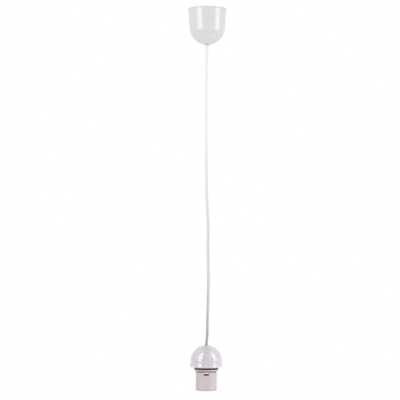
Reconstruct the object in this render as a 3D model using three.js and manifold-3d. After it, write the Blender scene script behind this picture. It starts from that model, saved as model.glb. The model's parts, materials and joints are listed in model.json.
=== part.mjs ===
// A ceiling pendant cord set: a canopy cup under the ceiling, a round cord, and an E27 lampholder
// under a domed cover. Millimetres, +Z up. The origin is where the fixing plate meets the ceiling,
// on the axis that the cup, the cord's exit and the lampholder share.
import * as THREE from "three";
import { mergeVertices } from "three/addons/utils/BufferGeometryUtils.js";
import Module from "manifold-3d";

const wasm = await Module();
wasm.setup();

// ---- driving dimensions ----

const GAP = 0.3; // between pieces that touch
const SEGMENTS = 36; // round the large turned pieces
const SMALL_SEGMENTS = 12; // round screws, rivets and bushes
const CUT_OVERRUN = 1; // how far a cutting tool runs past the face that it cuts

// ceiling fixing
const PLATE = { length: 56, width: 18, thickness: 2 };
const PLATE_SLOT = { spacing: 38, length: 8, width: 4.4 };
const PLATE_SCREW = { shank: 3.6, head: 7.4, headHeight: 2.2, reach: 1.2 };
const HOOK_NUT = { width: 9, height: 4.5, bore: 3.8 };
const HOOK = { wire: 3, bend: 5, drop: 19 };

// bail and cord clamp
const BAIL = { wire: 2.4, drop: 26 };
const CLAMP = { length: 16, width: 15, height: 14, pinDepth: 3.3, pinBelowTop: 4.2 };
const JAW = { height: 7, splitGap: 0.6, thickness: 5.4 };
const CLAMP_SCREW = { shank: 3, head: 5.6, headHeight: 2, length: 11, web: 1 };
const POST = { diameter: 5, height: 2.4, offset: 5.2 };

// terminal block
const TERMINAL = { length: 16, height: 11, wall: 0.8, floor: 1.5 };
const WAIST = { width: 3, depth: 2, height: 4 }; // notch halfway along each side of the block
const BARREL = { outer: 5, bore: 3 };
const TERMINAL_SCREW = { shank: 2.6, head: 3.6, headHeight: 1.4, inset: 3.8 };
const FIXING_SCREW = { shank: 2.2, head: 3.6, headHeight: 1.6, bite: 2 };
const CORE = { diameter: 1.8, pitch: 2.2 };

// canopy cup
const CUP = { rimGap: 4, mouthRadius: 35.4, taper: 1.9, lipProud: 1.4, lipHeight: 1.2 };
const CUP_WAIST_DROP = 37; // from the ceiling to where the straight wall turns into the bowl
const CUP_BOWL = { depth: 33.7, flat: 32.9 }; // the full curve, and where the flat bottom cuts it off
const CUP_WALL = 2;
const GROMMET = { neckWall: 1.2, flangeWall: 2.1, flangeHeight: 2, plug: 2.2 };

// cord
const CORD_DIAMETER = 5;
const CORD_SIDES = 8;
const CORD_STEPS = 52;

// lampholder and domed cover
const DOME_TOP = 630.1; // from the ceiling to the crown of the cover
const DOME = { radius: 29.3, height: 40.7, wall: 1.6, hole: 5 };
const DOME_RIM = { flare: 0.8, lipProud: 0.2, lipHeight: 1.5 };
const GRIP = { radius: 6, collarRadius: 7.2, collarHeight: 1.5, height: 23.9, thread: 4.6, threadLength: 5 };
const GRIP_SCREW = { diameter: 3, drop: 12, slot: 0.6, slotDepth: 0.8 };
const LOCKNUT = { width: 12.5, height: 1.6 };
const CAP = { radius: 21.6, height: 19.4, plate: 2.8, wall: 2.4 };
const CAP_LIP = { proud: 0.7, height: 3.1, inset: 1.5, insetHeight: 1 };
const CAP_EDGE = 1.5; // chamfer round the top of the cap
const GASKET = { proud: 0.45, height: 3.5, seat: 0.8 };
const GROOVE = 2.1; // open height between the cap's lip and the skirt
const SKIRT = { step: 2.05, height: 33.6, wall: 1.85, neckWall: 1.6, edge: 1, ledge: 1.5 };
const RING_THREAD = { pitch: 2.5, depth: 0.35, start: 11.6, turns: 8 };
const WINDOW = { width: 9.3, height: 5.8, rise: 0.6 }; // it opens upwards, past the skirt's shoulder
const INSERT = { thickness: 5, drop: 10.5 };
const INSERT_SCREW = { room: 0.75, shank: 2.6, head: 5, headHeight: 1.4, boss: 5.2 };
const LATCH = { width: 8.7, thickness: 1.1, root: 1.6, rootHeight: 1.4 };
const LATCH_NOSE = { height: 2.5, inset: 0.1, edge: 0.5 };
const SHELL = { minor: 12.15, depth: 1.1, pitch: 3.629, turns: 6, wall: 0.45, drop: 6.6 };
const TERMINAL_BLOCK = { offset: 10, length: 7, width: 6, height: 5, bore: 1.4 };
const BLOCK_SCREW = { shank: 2.2, head: 3.6, headHeight: 1.2 };
const RIVET = { offset: 11, shank: 2, head: 3.6, headHeight: 0.8, bite: 0.7 };
const STRIP = { width: 5, thickness: 0.5 };
const CONTACT_DROP = 11.4; // from the insert's underside to the tip of the centre contact

// ---- widths that follow from them ----

const cordRadius = CORD_DIAMETER / 2;
const clampScrewSide = cordRadius + CLAMP_SCREW.shank / 2 + CLAMP_SCREW.web;
const barrelPitch = BARREL.outer + FIXING_SCREW.shank + GAP * 2;
const terminalWidth = barrelPitch + BARREL.outer + (GAP + TERMINAL.wall) * 2;
const bailHalfWidth = Math.max(CLAMP.width, terminalWidth) / 2 + GAP + BAIL.wire / 2;
const cupWaistRadius = CUP.mouthRadius - CUP.taper;
const grommetNeck = cordRadius + GROMMET.neckWall;
const grommetFlange = cordRadius + GROMMET.flangeWall;
const domeRimRadius = DOME.radius + DOME_RIM.flare;
const skirtRadius = CAP.radius - SKIRT.step;
const skirtBore = skirtRadius - SKIRT.wall;
const neckRadius = CAP.radius - CAP.wall - GAP * 2;
const neckBore = neckRadius - SKIRT.neckWall;
const shellMajor = SHELL.minor + SHELL.depth;
const latchFace = Math.sqrt(neckBore ** 2 - (LATCH.width / 2) ** 2) - GAP;
const latchRoot = latchFace - LATCH.thickness - LATCH.root;
const insertScrewSide = latchRoot - INSERT_SCREW.head / 2 - INSERT_SCREW.room;

// ---- heights that follow from them, all measured down from the ceiling ----

const plateBottom = -PLATE.thickness;
const nutTop = plateBottom - GAP;
const nutBottom = nutTop - HOOK_NUT.height;
const hookBend = -HOOK.drop;
const bailTop = hookBend + (HOOK.wire + BAIL.wire) / 2 + GAP;
const bailPin = bailTop - BAIL.drop;
const clampTop = bailPin + CLAMP.pinBelowTop;
const clampBottom = clampTop - CLAMP.height;
const terminalBottom = clampTop + POST.height + GAP;
const terminalTop = terminalBottom + TERMINAL.height;
const barrelHeight = terminalBottom + BARREL.outer / 2 + TERMINAL.floor;
const cordTop = clampTop - GAP * 2;

const cupRim = -CUP.rimGap;
const cupWaist = -CUP_WAIST_DROP;
const cupPole = cupWaist - CUP_BOWL.flat;
const grommetBottom = cupPole - GAP - GROMMET.flangeHeight;

const domeCrown = -DOME_TOP;
const domeRim = domeCrown - DOME.height;
const domeReach = Math.sqrt((DOME.radius - DOME.wall) ** 2 - GRIP.radius ** 2);
const gripTop = domeCrown - DOME.radius + domeReach - GAP;
const gripBottom = gripTop - GRIP.height;
const capTop = gripBottom - GAP - GRIP.collarHeight;
const capPlateBottom = capTop - CAP.plate;
const capBottom = capTop - CAP.height;
const cordBottom = capPlateBottom - GRIP.threadLength + CAP.plate + GAP;
const gasketBottom = capBottom + CAP_LIP.height + GAP;
const insertTop = capTop - INSERT.drop;
const insertBottom = insertTop - INSERT.thickness;
const skirtTop = capBottom - GROOVE;
const skirtBottom = skirtTop - SKIRT.height;
const neckTop = insertBottom - GAP;
const windowTop = skirtTop + WINDOW.rise;
const shellTop = skirtTop - SHELL.drop;
const shellEnd = shellTop - SHELL.turns * SHELL.pitch;
const blockTop = insertTop + GAP + TERMINAL_BLOCK.height;

// ---- shaping helpers ----

function toSolid(geometry) {
  const bare = geometry.clone();
  bare.deleteAttribute("normal");
  bare.deleteAttribute("uv");
  const merged = mergeVertices(bare, 1e-4);
  const mesh = new wasm.Mesh({
    numProp: 3,
    vertProperties: merged.attributes.position.array,
    triVerts: new Uint32Array(merged.index.array),
  });
  return new wasm.Manifold(mesh);
}

function toGeometry(solid) {
  const mesh = solid.getMesh();
  const geometry = new THREE.BufferGeometry();
  geometry.setAttribute("position", new THREE.BufferAttribute(mesh.vertProperties, 3));
  geometry.setIndex(new THREE.BufferAttribute(mesh.triVerts, 1));
  geometry.computeVertexNormals();
  return geometry;
}

function cut(base, ...tools) {
  return toGeometry(tools.reduce((solid, tool) => solid.subtract(toSolid(tool)), toSolid(base)));
}

function join(base, ...others) {
  return toGeometry(others.reduce((solid, other) => solid.add(toSolid(other)), toSolid(base)));
}

// Turns a closed outline of [radius, z] points about the Z axis.
function turned(outline, segments = SEGMENTS) {
  const closed = [...outline, outline[0]];
  const area = closed.slice(1).reduce((sum, [r, z], i) => sum + closed[i][0] * z - r * closed[i][1], 0);
  const ordered = area > 0 ? closed : closed.reverse();
  const points = ordered.map(([r, z]) => new THREE.Vector2(r, z));
  return new THREE.LatheGeometry(points, segments).rotateX(Math.PI / 2);
}

// A round bar along Z between two heights, standing on (x, y).
function post(radius, low, high, x = 0, y = 0, sides = SMALL_SEGMENTS) {
  const bar = new THREE.CylinderGeometry(radius, radius, high - low, sides);
  return bar.rotateX(Math.PI / 2).translate(x, y, (low + high) / 2);
}

// A round bar along X between two places.
function barAlongX(radius, from, to, y, z, sides = SMALL_SEGMENTS) {
  const bar = new THREE.CylinderGeometry(radius, radius, to - from, sides);
  return bar.rotateZ(-Math.PI / 2).translate((from + to) / 2, y, z);
}

function barAlongY(radius, from, to, x, z, sides = SMALL_SEGMENTS) {
  const bar = new THREE.CylinderGeometry(radius, radius, to - from, sides);
  return bar.translate(x, (from + to) / 2, z);
}

function block([x0, y0, z0], [x1, y1, z1]) {
  const box = new THREE.BoxGeometry(x1 - x0, y1 - y0, z1 - z0);
  return box.translate((x0 + x1) / 2, (y0 + y1) / 2, (z0 + z1) / 2);
}

function hexagon(acrossFlats, low, high) {
  const corner = acrossFlats / Math.sqrt(3);
  const prism = new THREE.CylinderGeometry(corner, corner, high - low, 6);
  return prism.rotateX(Math.PI / 2).translate(0, 0, (low + high) / 2);
}

// A round wire or tube that follows a curve through the given points.
function wire(points, diameter, sides, steps) {
  const ring = Array.from({ length: sides }, (_, i) => {
    const turn = (2 * Math.PI * i) / sides;
    return new THREE.Vector2(Math.cos(turn), Math.sin(turn)).multiplyScalar(diameter / 2);
  });
  const route = new THREE.CatmullRomCurve3(points.map((p) => new THREE.Vector3(...p)), false, "centripetal");
  return new THREE.ExtrudeGeometry(new THREE.Shape(ring), { steps, extrudePath: route, curveSegments: 1 });
}

// A flat strip of the given outline points in the XZ plane, as wide as the contacts are along Y.
function strip(centreLine, thickness, width) {
  const outline = [];
  const back = [];
  centreLine.forEach(([x, z], i) => {
    const [px, pz] = centreLine[Math.max(i - 1, 0)];
    const [nx, nz] = centreLine[Math.min(i + 1, centreLine.length - 1)];
    const length = Math.hypot(nx - px, nz - pz);
    const [ox, oz] = [(-(nz - pz) / length) * (thickness / 2), ((nx - px) / length) * (thickness / 2)];
    outline.push(new THREE.Vector2(x + ox, z + oz));
    back.unshift(new THREE.Vector2(x - ox, z - oz));
  });
  const flat = new THREE.Shape([...outline, ...back]);
  const bar = new THREE.ExtrudeGeometry(flat, { depth: width, bevelEnabled: false, curveSegments: 1 });
  return bar.rotateX(Math.PI / 2).translate(0, width / 2, 0);
}

// A pan-head screw pointing up: its head's top face sits at z, its shank reaches up from there.
function screwUp(spec, z, reach, x, y) {
  const head = post(spec.head / 2, z - spec.headHeight, z, x, y);
  const slot = block(
    [x - spec.head, y - spec.head * 0.08, z - spec.headHeight - CUT_OVERRUN],
    [x + spec.head, y + spec.head * 0.08, z - spec.headHeight * 0.5],
  );
  const shank = post(spec.shank / 2, z - spec.headHeight * 0.4, z + reach, x, y);
  return cut(join(head, shank), slot);
}

// The same screw pointing down, its head's underside at z.
function screwDown(spec, z, reach, x, y) {
  return screwUp(spec, -z, reach, x, -y).rotateX(Math.PI);
}

const pendant = new THREE.Group();

function add(name, geometry, finish) {
  const mesh = new THREE.Mesh(geometry, new THREE.MeshStandardMaterial(finish));
  mesh.name = name;
  pendant.add(mesh);
}

const WHITE_GLOSS = { color: 0xe8e8e6, roughness: 0.25, metalness: 0 };
const MILKY = { color: 0xdcd8e2, roughness: 0.35, metalness: 0 };
const HOLDER_PLASTIC = { color: 0xd9cdcd, roughness: 0.5, metalness: 0 };
const DARK_RUBBER = { color: 0x55504f, roughness: 0.8, metalness: 0 };
const CORD_PVC = { color: 0xd2cfd6, roughness: 0.45, metalness: 0 };
const NYLON = { color: 0xe4e0d4, roughness: 0.55, metalness: 0 };
const CERAMIC = { color: 0xeae6dc, roughness: 0.4, metalness: 0 };
const STEEL = { color: 0xb9bcc0, roughness: 0.4, metalness: 1 };
const BRASS = { color: 0xc9a95c, roughness: 0.35, metalness: 1 };
const BLUE_CORE = { color: 0x3d6fb4, roughness: 0.5, metalness: 0 };
const BROWN_CORE = { color: 0x6d4630, roughness: 0.5, metalness: 0 };

// ---- ceiling fixing ----

function slotTool(x) {
  const half = (PLATE_SLOT.length - PLATE_SLOT.width) / 2;
  const [low, high] = [plateBottom - CUT_OVERRUN, CUT_OVERRUN];
  const middle = block([x - half, -PLATE_SLOT.width / 2, low], [x + half, PLATE_SLOT.width / 2, high]);
  const ends = [-half, half].map((dx) => post(PLATE_SLOT.width / 2, low, high, x + dx, 0));
  return join(middle, ...ends);
}

function ceilingPlate() {
  const halfWidth = PLATE.width / 2;
  const outline = new THREE.Shape();
  const inner = PLATE.length / 2 - halfWidth;
  outline.absarc(inner, 0, halfWidth, -Math.PI / 2, Math.PI / 2);
  outline.absarc(-inner, 0, halfWidth, Math.PI / 2, (3 * Math.PI) / 2);
  outline.closePath();
  const plate = new THREE.ExtrudeGeometry(outline, {
    depth: PLATE.thickness,
    bevelEnabled: false,
    curveSegments: 16,
  }).translate(0, 0, plateBottom);
  return cut(plate, ...[-1, 1].map((side) => slotTool((side * PLATE_SLOT.spacing) / 2)));
}

function hookNut() {
  const bore = post(HOOK_NUT.bore / 2, nutBottom - CUT_OVERRUN, nutTop - 1);
  return cut(hexagon(HOOK_NUT.width, nutBottom, nutTop), bore);
}

// The shank hangs on the axis and the open ring below it carries the bail at its lowest point.
function ceilingHook() {
  const centre = hookBend + HOOK.bend;
  const ringPoint = (degrees) => {
    const turn = THREE.MathUtils.degToRad(degrees);
    return [HOOK.bend * Math.cos(turn), 0, centre + HOOK.bend * Math.sin(turn)];
  };
  const shank = [
    [0, 0, nutTop - 1 - GAP],
    [0, 0, nutBottom - 0.2],
    [0.3, 0, centre + HOOK.bend + 1.5],
  ];
  const ring = [40, 10, -20, -50, -90, -130, -165, -195].map(ringPoint);
  return wire([...shank, ...ring], HOOK.wire, 10, 32);
}

function buildCeilingFixing() {
  add("ceiling_plate", ceilingPlate(), STEEL);
  [["left", -1], ["right", 1]].forEach(([side, sign]) => {
    const x = (sign * PLATE_SLOT.spacing) / 2;
    const reach = PLATE.thickness + GAP - PLATE_SCREW.reach;
    add(`plate_screw_${side}`, screwUp(PLATE_SCREW, plateBottom - GAP, reach, x, 0), STEEL);
  });
  add("hook_nut", hookNut(), STEEL);
  add("ceiling_hook", ceilingHook(), STEEL);
}

// ---- bail and cord clamp ----

// A wire bow over the hook, with both ends turned in to make the clamp's pivots.
function bail() {
  const half = bailHalfWidth;
  const pinEnd = CLAMP.width / 2 - CLAMP.pinDepth + GAP;
  const side = (sign) => [
    [0, sign * half * 0.45, bailTop - 0.8],
    [0, sign * half * 0.84, bailTop - 4],
    [0, sign * half, bailTop - 9],
    [0, sign * half, bailPin + 5],
    [0, sign * half, bailPin + 1.5],
    [0, sign * (half - 0.6), bailPin + 0.2],
    [0, sign * (half - 1.6), bailPin],
    [0, sign * pinEnd, bailPin],
  ];
  return wire([...side(-1).reverse(), [0, 0, bailTop], ...side(1)], BAIL.wire, 8, 44);
}

function jawBox(inset) {
  const face = -JAW.splitGap / 2;
  return block(
    [face - JAW.thickness - inset, -CLAMP.width / 2 - inset, clampBottom - inset],
    [face + inset, CLAMP.width / 2 + inset, clampBottom + JAW.height + inset],
  );
}

function clampBody() {
  const [halfX, halfY] = [CLAMP.length / 2, CLAMP.width / 2];
  const body = block([-halfX, -halfY, clampBottom], [halfX, halfY, clampTop]);
  const channel = post(cordRadius + GAP, clampBottom - CUT_OVERRUN, clampTop + CUT_OVERRUN);
  const jawRoom = block(
    [-halfX - CUT_OVERRUN, -halfY - CUT_OVERRUN, clampBottom - CUT_OVERRUN],
    [JAW.splitGap / 2, halfY + CUT_OVERRUN, clampBottom + JAW.height + GAP],
  );
  const pinHole = (sign) => {
    const ends = [sign * (halfY - CLAMP.pinDepth), sign * (halfY + CUT_OVERRUN)].sort((a, b) => a - b);
    return barAlongY(BAIL.wire / 2 + GAP, ends[0], ends[1], 0, bailPin);
  };
  const screwHole = (sign) => {
    const z = clampBottom + JAW.height / 2;
    const depth = CLAMP_SCREW.length - JAW.thickness + GAP;
    return barAlongX(CLAMP_SCREW.shank / 2 + GAP, -CUT_OVERRUN, depth, sign * clampScrewSide, z);
  };
  const stand = post(POST.diameter / 2, clampTop - CUT_OVERRUN, clampTop + POST.height, -POST.offset, 0);
  const standHole = post(
    FIXING_SCREW.shank / 2 + GAP,
    clampTop + POST.height - FIXING_SCREW.bite - GAP * 2,
    clampTop + POST.height + CUT_OVERRUN,
    -POST.offset,
    0,
  );
  const bores = [-1, 1].flatMap((sign) => [pinHole(sign), screwHole(sign)]);
  return cut(join(body, stand), channel, jawRoom, standHole, ...bores);
}

function clampJaw() {
  const channel = post(cordRadius + GAP, clampBottom - CUT_OVERRUN, clampTop + CUT_OVERRUN);
  const holes = [-1, 1].map((sign) =>
    barAlongX(
      CLAMP_SCREW.shank / 2 + GAP,
      -CLAMP.length,
      CUT_OVERRUN,
      sign * clampScrewSide,
      clampBottom + JAW.height / 2,
    ),
  );
  return cut(jawBox(0), channel, ...holes);
}

function clampScrew(sign) {
  const face = -JAW.splitGap / 2 - JAW.thickness - GAP;
  const screw = screwUp(CLAMP_SCREW, 0, CLAMP_SCREW.length, 0, 0).rotateY(Math.PI / 2);
  return screw.translate(face, sign * clampScrewSide, clampBottom + JAW.height / 2);
}

function buildClamp() {
  add("suspension_bail", bail(), STEEL);
  add("cord_clamp", clampBody(), NYLON);
  add("clamp_jaw", clampJaw(), NYLON);
  add("clamp_screw_front", clampScrew(-1), STEEL);
  add("clamp_screw_back", clampScrew(1), STEEL);
}

// ---- terminal block ----

const poles = [
  { name: "live", sign: -1, finish: BROWN_CORE },
  { name: "neutral", sign: 1, finish: BLUE_CORE },
];

function screwWellPlaces(sign) {
  const x = TERMINAL.length / 2 - TERMINAL_SCREW.inset;
  return [-x, x].map((dx) => [dx, (sign * barrelPitch) / 2]);
}

function terminalHousing() {
  const [halfX, halfY] = [TERMINAL.length / 2, terminalWidth / 2];
  const body = block([-halfX, -halfY, terminalBottom], [halfX, halfY, terminalTop]);
  const end = halfX + CUT_OVERRUN;
  const tools = poles.flatMap(({ sign }) => [
    barAlongX(BARREL.outer / 2 + GAP, -end, end, (sign * barrelPitch) / 2, barrelHeight),
    ...screwWellPlaces(sign).map(([x, y]) =>
      post(TERMINAL_SCREW.head / 2 + GAP, barrelHeight, terminalTop + CUT_OVERRUN, x, y),
    ),
  ]);
  const fixing = post(
    FIXING_SCREW.shank / 2 + GAP,
    terminalBottom - CUT_OVERRUN,
    terminalTop + CUT_OVERRUN,
    -POST.offset,
    0,
  );
  const waist = [-1, 1].map((sign) => {
    const ends = [sign * (halfY - WAIST.depth), sign * (halfY + CUT_OVERRUN)].sort((a, b) => a - b);
    const [low, high] = [terminalTop - WAIST.height, terminalTop + CUT_OVERRUN];
    return block([-WAIST.width / 2, ends[0], low], [WAIST.width / 2, ends[1], high]);
  });
  return cut(body, ...tools, fixing, ...waist);
}

function terminalBarrel(sign) {
  const half = TERMINAL.length / 2 - 1;
  const y = (sign * barrelPitch) / 2;
  const body = barAlongX(BARREL.outer / 2, -half, half, y, barrelHeight);
  const bore = barAlongX(BARREL.bore / 2, -half - CUT_OVERRUN, half + CUT_OVERRUN, y, barrelHeight);
  const taps = screwWellPlaces(sign).map(([x, py]) =>
    post(TERMINAL_SCREW.shank / 2 + GAP, barrelHeight, terminalTop, x, py),
  );
  return cut(body, bore, ...taps);
}

function buildTerminal() {
  add("terminal_housing", terminalHousing(), NYLON);
  poles.forEach(({ name, sign }) => {
    add(`terminal_barrel_${name}`, terminalBarrel(sign), BRASS);
    screwWellPlaces(sign).forEach(([x, y], i) => {
      const headSeat = barrelHeight + BARREL.outer / 2 + GAP;
      const reach = BARREL.outer / 2 - CORE.diameter / 2;
      const side = i ? "lamp" : "house";
      add(`terminal_screw_${name}_${side}`, screwDown(TERMINAL_SCREW, headSeat, reach, x, y), STEEL);
    });
  });
  const seat = terminalTop + GAP;
  const reach = TERMINAL.height + GAP * 2 + FIXING_SCREW.bite;
  add("terminal_fixing_screw", screwDown(FIXING_SCREW, seat, reach, -POST.offset, 0), STEEL);
}

// Each core leaves the end of the sheath, rounds the block's side and enters its barrel.
function topCore(sign) {
  const near = (sign * CORE.pitch) / 2;
  const far = (sign * barrelPitch) / 2;
  const edge = TERMINAL.length / 2;
  const under = (clampTop + terminalBottom) / 2;
  return wire(
    [
      [0, near, cordTop + GAP],
      [0, near, cordTop + GAP * 2],
      [0.6, near, under - 0.4],
      [2.2, near, under],
      [edge - 1, (near + far) / 2, under],
      [edge + 2.2, far, under + 1],
      [edge + 3, far, (under + barrelHeight) / 2],
      [edge + 1.8, far, barrelHeight - 0.3],
      [edge, far, barrelHeight],
      [edge - TERMINAL_SCREW.inset - 1, far, barrelHeight],
    ],
    CORE.diameter,
    6,
    26,
  );
}

// ---- canopy cup ----

// The bowl's curve from the waist down to the edge of the flat bottom.
function bowlPoints(radius, inset, steps) {
  const depth = CUP_BOWL.depth - inset;
  const last = Math.asin((CUP_BOWL.flat - inset) / depth);
  return Array.from({ length: steps }, (_, i) => {
    const turn = ((i + 1) / steps) * last;
    return [radius * Math.cos(turn), cupWaist - depth * Math.sin(turn)];
  });
}

function canopyCup() {
  const hole = grommetNeck + GAP;
  const lipBottom = cupRim - CUP.lipHeight;
  const outer = [
    [(CUP.mouthRadius + CUP.lipProud) - 0.4, cupRim],
    [(CUP.mouthRadius + CUP.lipProud), cupRim - 0.5],
    [(CUP.mouthRadius + CUP.lipProud), lipBottom],
    [CUP.mouthRadius, lipBottom - 0.4],
    [cupWaistRadius, cupWaist],
    ...bowlPoints(cupWaistRadius, 0, 9),
    [hole, cupPole],
  ];
  const inner = [
    [hole, cupPole + CUP_WALL],
    ...bowlPoints(cupWaistRadius - CUP_WALL, CUP_WALL, 7).reverse(),
    [cupWaistRadius - CUP_WALL, cupWaist],
    [CUP.mouthRadius - CUP_WALL, cupRim],
  ];
  return turned([...outer, ...inner]);
}

// A soft bush, snapped into the cup's hole, that grips the cord and holds the cup up.
function canopyGrommet() {
  const bore = cordRadius + GAP;
  const brim = grommetFlange + 0.4;
  const curve = (CUP_BOWL.depth - CUP_WALL) * Math.sqrt(1 - (brim / (cupWaistRadius - CUP_WALL)) ** 2);
  const floor = cupWaist - Math.min(curve, CUP_BOWL.flat - CUP_WALL);
  const [under, over] = [cupPole - GAP, floor + GAP];
  const outline = [
    [bore, grommetBottom],
    [grommetFlange - 0.5, grommetBottom],
    [grommetFlange, grommetBottom + 0.5],
    [grommetFlange, under],
    [grommetNeck, under],
    [grommetNeck, over],
    [brim, over],
    [grommetNeck - 0.2, over + GROMMET.plug],
    [bore, over + GROMMET.plug],
  ];
  return turned(outline, 24);
}

function buildCanopy() {
  add("canopy_cup", canopyCup(), WHITE_GLOSS);
  add("canopy_grommet", canopyGrommet(), WHITE_GLOSS);
}

// ---- cord ----

// Hand-chosen points: straight down out of the cup, then the slight set that a packed cord keeps.
const CORD_ROUTE = [
  [0, 0, cordTop],
  [0, 0, -52],
  [0, 0, -71],
  [-0.5, 0.2, -95],
  [-0.9, 0.4, -130],
  [-1.1, 0.6, -172],
  [-1.3, 0.7, -217],
  [-0.9, 0.5, -262],
  [-0.4, 0.2, -307],
  [0.1, -0.2, -350],
  [1.1, -0.5, -378],
  [2.2, -0.8, -402],
  [2.4, -0.9, -450],
  [3.1, -0.8, -486],
  [3.6, -0.5, -514],
  [3.3, -0.2, -534],
  [3.0, 0.1, -555],
  [2.4, 0.3, -578],
  [2.1, 0.3, -598],
  [1.7, 0.2, -613],
  [0.8, 0, -622],
  [0.1, 0, -631],
  [0, 0, -645],
  [0, 0, cordBottom],
];

// ---- lampholder ----

function domeCover() {
  const steps = 9;
  const arc = (radius, from) =>
    Array.from({ length: steps + 1 }, (_, i) => {
      const start = Math.asin(from / radius);
      const turn = start + (i / steps) * (Math.PI / 2 - start);
      return [radius * Math.sin(turn), domeCrown - DOME.radius + radius * Math.cos(turn)];
    });
  const outer = [
    ...arc(DOME.radius, DOME.hole),
    [domeRimRadius, domeRim + DOME_RIM.lipHeight],
    [domeRimRadius + DOME_RIM.lipProud, domeRim + DOME_RIM.lipHeight - 0.3],
    [domeRimRadius + DOME_RIM.lipProud, domeRim],
  ];
  const inner = [[domeRimRadius - DOME.wall, domeRim], ...arc(DOME.radius - DOME.wall, DOME.hole).reverse()];
  return turned([...outer, ...inner]);
}

function cordGrip() {
  const bore = cordRadius + GAP;
  const threadEnd = capPlateBottom - GRIP.threadLength + CAP.plate;
  const outline = [
    [bore, threadEnd],
    [GRIP.thread, threadEnd],
    [GRIP.thread, capTop + GAP],
    [GRIP.collarRadius, capTop + GAP],
    [GRIP.collarRadius, gripBottom],
    [GRIP.radius, gripBottom + 1],
    [GRIP.radius, gripTop - 0.8],
    [GRIP.radius - 0.8, gripTop],
    [bore, gripTop],
  ];
  const screwHeight = gripTop - GRIP_SCREW.drop;
  const tapRadius = GRIP_SCREW.diameter / 2 + GAP;
  const tap = barAlongY(tapRadius, -GRIP.radius - CUT_OVERRUN, -bore + GAP, 0, screwHeight);
  return cut(turned(outline, 24), tap);
}

function gripScrew() {
  const face = -(cordRadius + GAP);
  const z = gripTop - GRIP_SCREW.drop;
  const body = barAlongY(GRIP_SCREW.diameter / 2, -GRIP.radius, face, 0, z);
  const slot = block(
    [-GRIP_SCREW.diameter, -GRIP.radius - CUT_OVERRUN, z - GRIP_SCREW.slot / 2],
    [GRIP_SCREW.diameter, -GRIP.radius + GRIP_SCREW.slotDepth, z + GRIP_SCREW.slot / 2],
  );
  return cut(body, slot);
}

function lockNut() {
  const top = capPlateBottom - GAP;
  const bore = post(GRIP.thread + GAP, top - LOCKNUT.height - 1, top + 1, 0, 0, 24);
  return cut(hexagon(LOCKNUT.width, top - LOCKNUT.height, top), bore);
}

function holderCap() {
  const bore = CAP.radius - CAP.wall;
  const seatTop = gasketBottom + GASKET.height + GAP;
  const seatBottom = gasketBottom - GAP;
  const outline = [
    [GRIP.thread + GAP, capTop],
    [CAP.radius - CAP_EDGE, capTop],
    [CAP.radius, capTop - CAP_EDGE],
    [CAP.radius, seatTop],
    [CAP.radius - GASKET.seat, seatTop],
    [CAP.radius - GASKET.seat, seatBottom],
    [CAP.radius + CAP_LIP.proud, seatBottom],
    [CAP.radius + CAP_LIP.proud, capBottom + CAP_LIP.insetHeight],
    [CAP.radius + CAP_LIP.proud - CAP_LIP.inset, capBottom],
    [bore, capBottom],
    [bore, capPlateBottom],
    [GRIP.thread + GAP, capPlateBottom],
  ];
  const shell = turned(outline);
  const bosses = [-1, 1].map((sign) => {
    const y = sign * insertScrewSide;
    const boss = post(INSERT_SCREW.boss / 2, insertTop + GAP, capPlateBottom + CUT_OVERRUN, 0, y);
    const hole = post(INSERT_SCREW.shank / 2 + GAP, insertTop, capPlateBottom - CUT_OVERRUN, 0, y);
    return cut(boss, hole);
  });
  return join(shell, ...bosses);
}

function gasketRing() {
  const [low, high] = [gasketBottom, gasketBottom + GASKET.height];
  const bore = CAP.radius - GASKET.seat + GAP;
  const edge = 0.5;
  return turned([
    [bore, low],
    [CAP.radius + GASKET.proud - edge, low],
    [CAP.radius + GASKET.proud, low + edge],
    [CAP.radius + GASKET.proud, high - edge],
    [CAP.radius + GASKET.proud - edge, high],
    [bore, high],
  ]);
}

function contactInsert() {
  const disc = post(neckRadius, insertBottom, insertTop, 0, 0, SEGMENTS);
  const holes = [-1, 1].flatMap((sign) => [
    post(INSERT_SCREW.shank / 2 + GAP, insertBottom - 1, insertTop + 1, 0, sign * insertScrewSide),
    post(RIVET.shank / 2 + GAP, insertBottom - 1, insertTop + 1, sign * RIVET.offset, 0),
  ]);
  return cut(disc, ...holes);
}

function terminalBlock(sign) {
  const low = insertTop + GAP;
  const inner = TERMINAL_BLOCK.offset - TERMINAL_BLOCK.length / 2;
  const outer = inner + TERMINAL_BLOCK.length;
  const middle = low + TERMINAL_BLOCK.height / 2;
  const body = block([inner, -TERMINAL_BLOCK.width / 2, low], [outer, TERMINAL_BLOCK.width / 2, blockTop]);
  const wireHole = barAlongX(TERMINAL_BLOCK.bore, inner - 1, outer - 1.6, 0, middle);
  const tap = post(BLOCK_SCREW.shank / 2 + GAP, middle, blockTop + 1, TERMINAL_BLOCK.offset - 1, 0);
  const rivetHole = post(RIVET.shank / 2 + GAP, low - 1, low + 1, RIVET.offset, 0);
  const made = cut(body, wireHole, tap, rivetHole);
  return sign > 0 ? made : made.rotateZ(Math.PI);
}

// Runs from under the cord's end into the terminal block on its own side.
function bottomCore(sign) {
  const height = insertTop + GAP + TERMINAL_BLOCK.height / 2;
  const start = cordBottom - GAP;
  const face = TERMINAL_BLOCK.offset - TERMINAL_BLOCK.length / 2;
  const points = [
    [CORE.pitch / 2, 0, start],
    [CORE.pitch / 2, 0, start - GAP],
    [CORE.pitch / 2 + 1, 0, height + 0.7],
    [CORE.pitch / 2 + 2.7, 0, height],
    [face, 0, height],
    [TERMINAL_BLOCK.offset - 2.2, 0, height],
  ];
  return wire(points.map(([x, y, z]) => [sign * x, y, z]), CORE.diameter, 6, 14);
}

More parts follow.
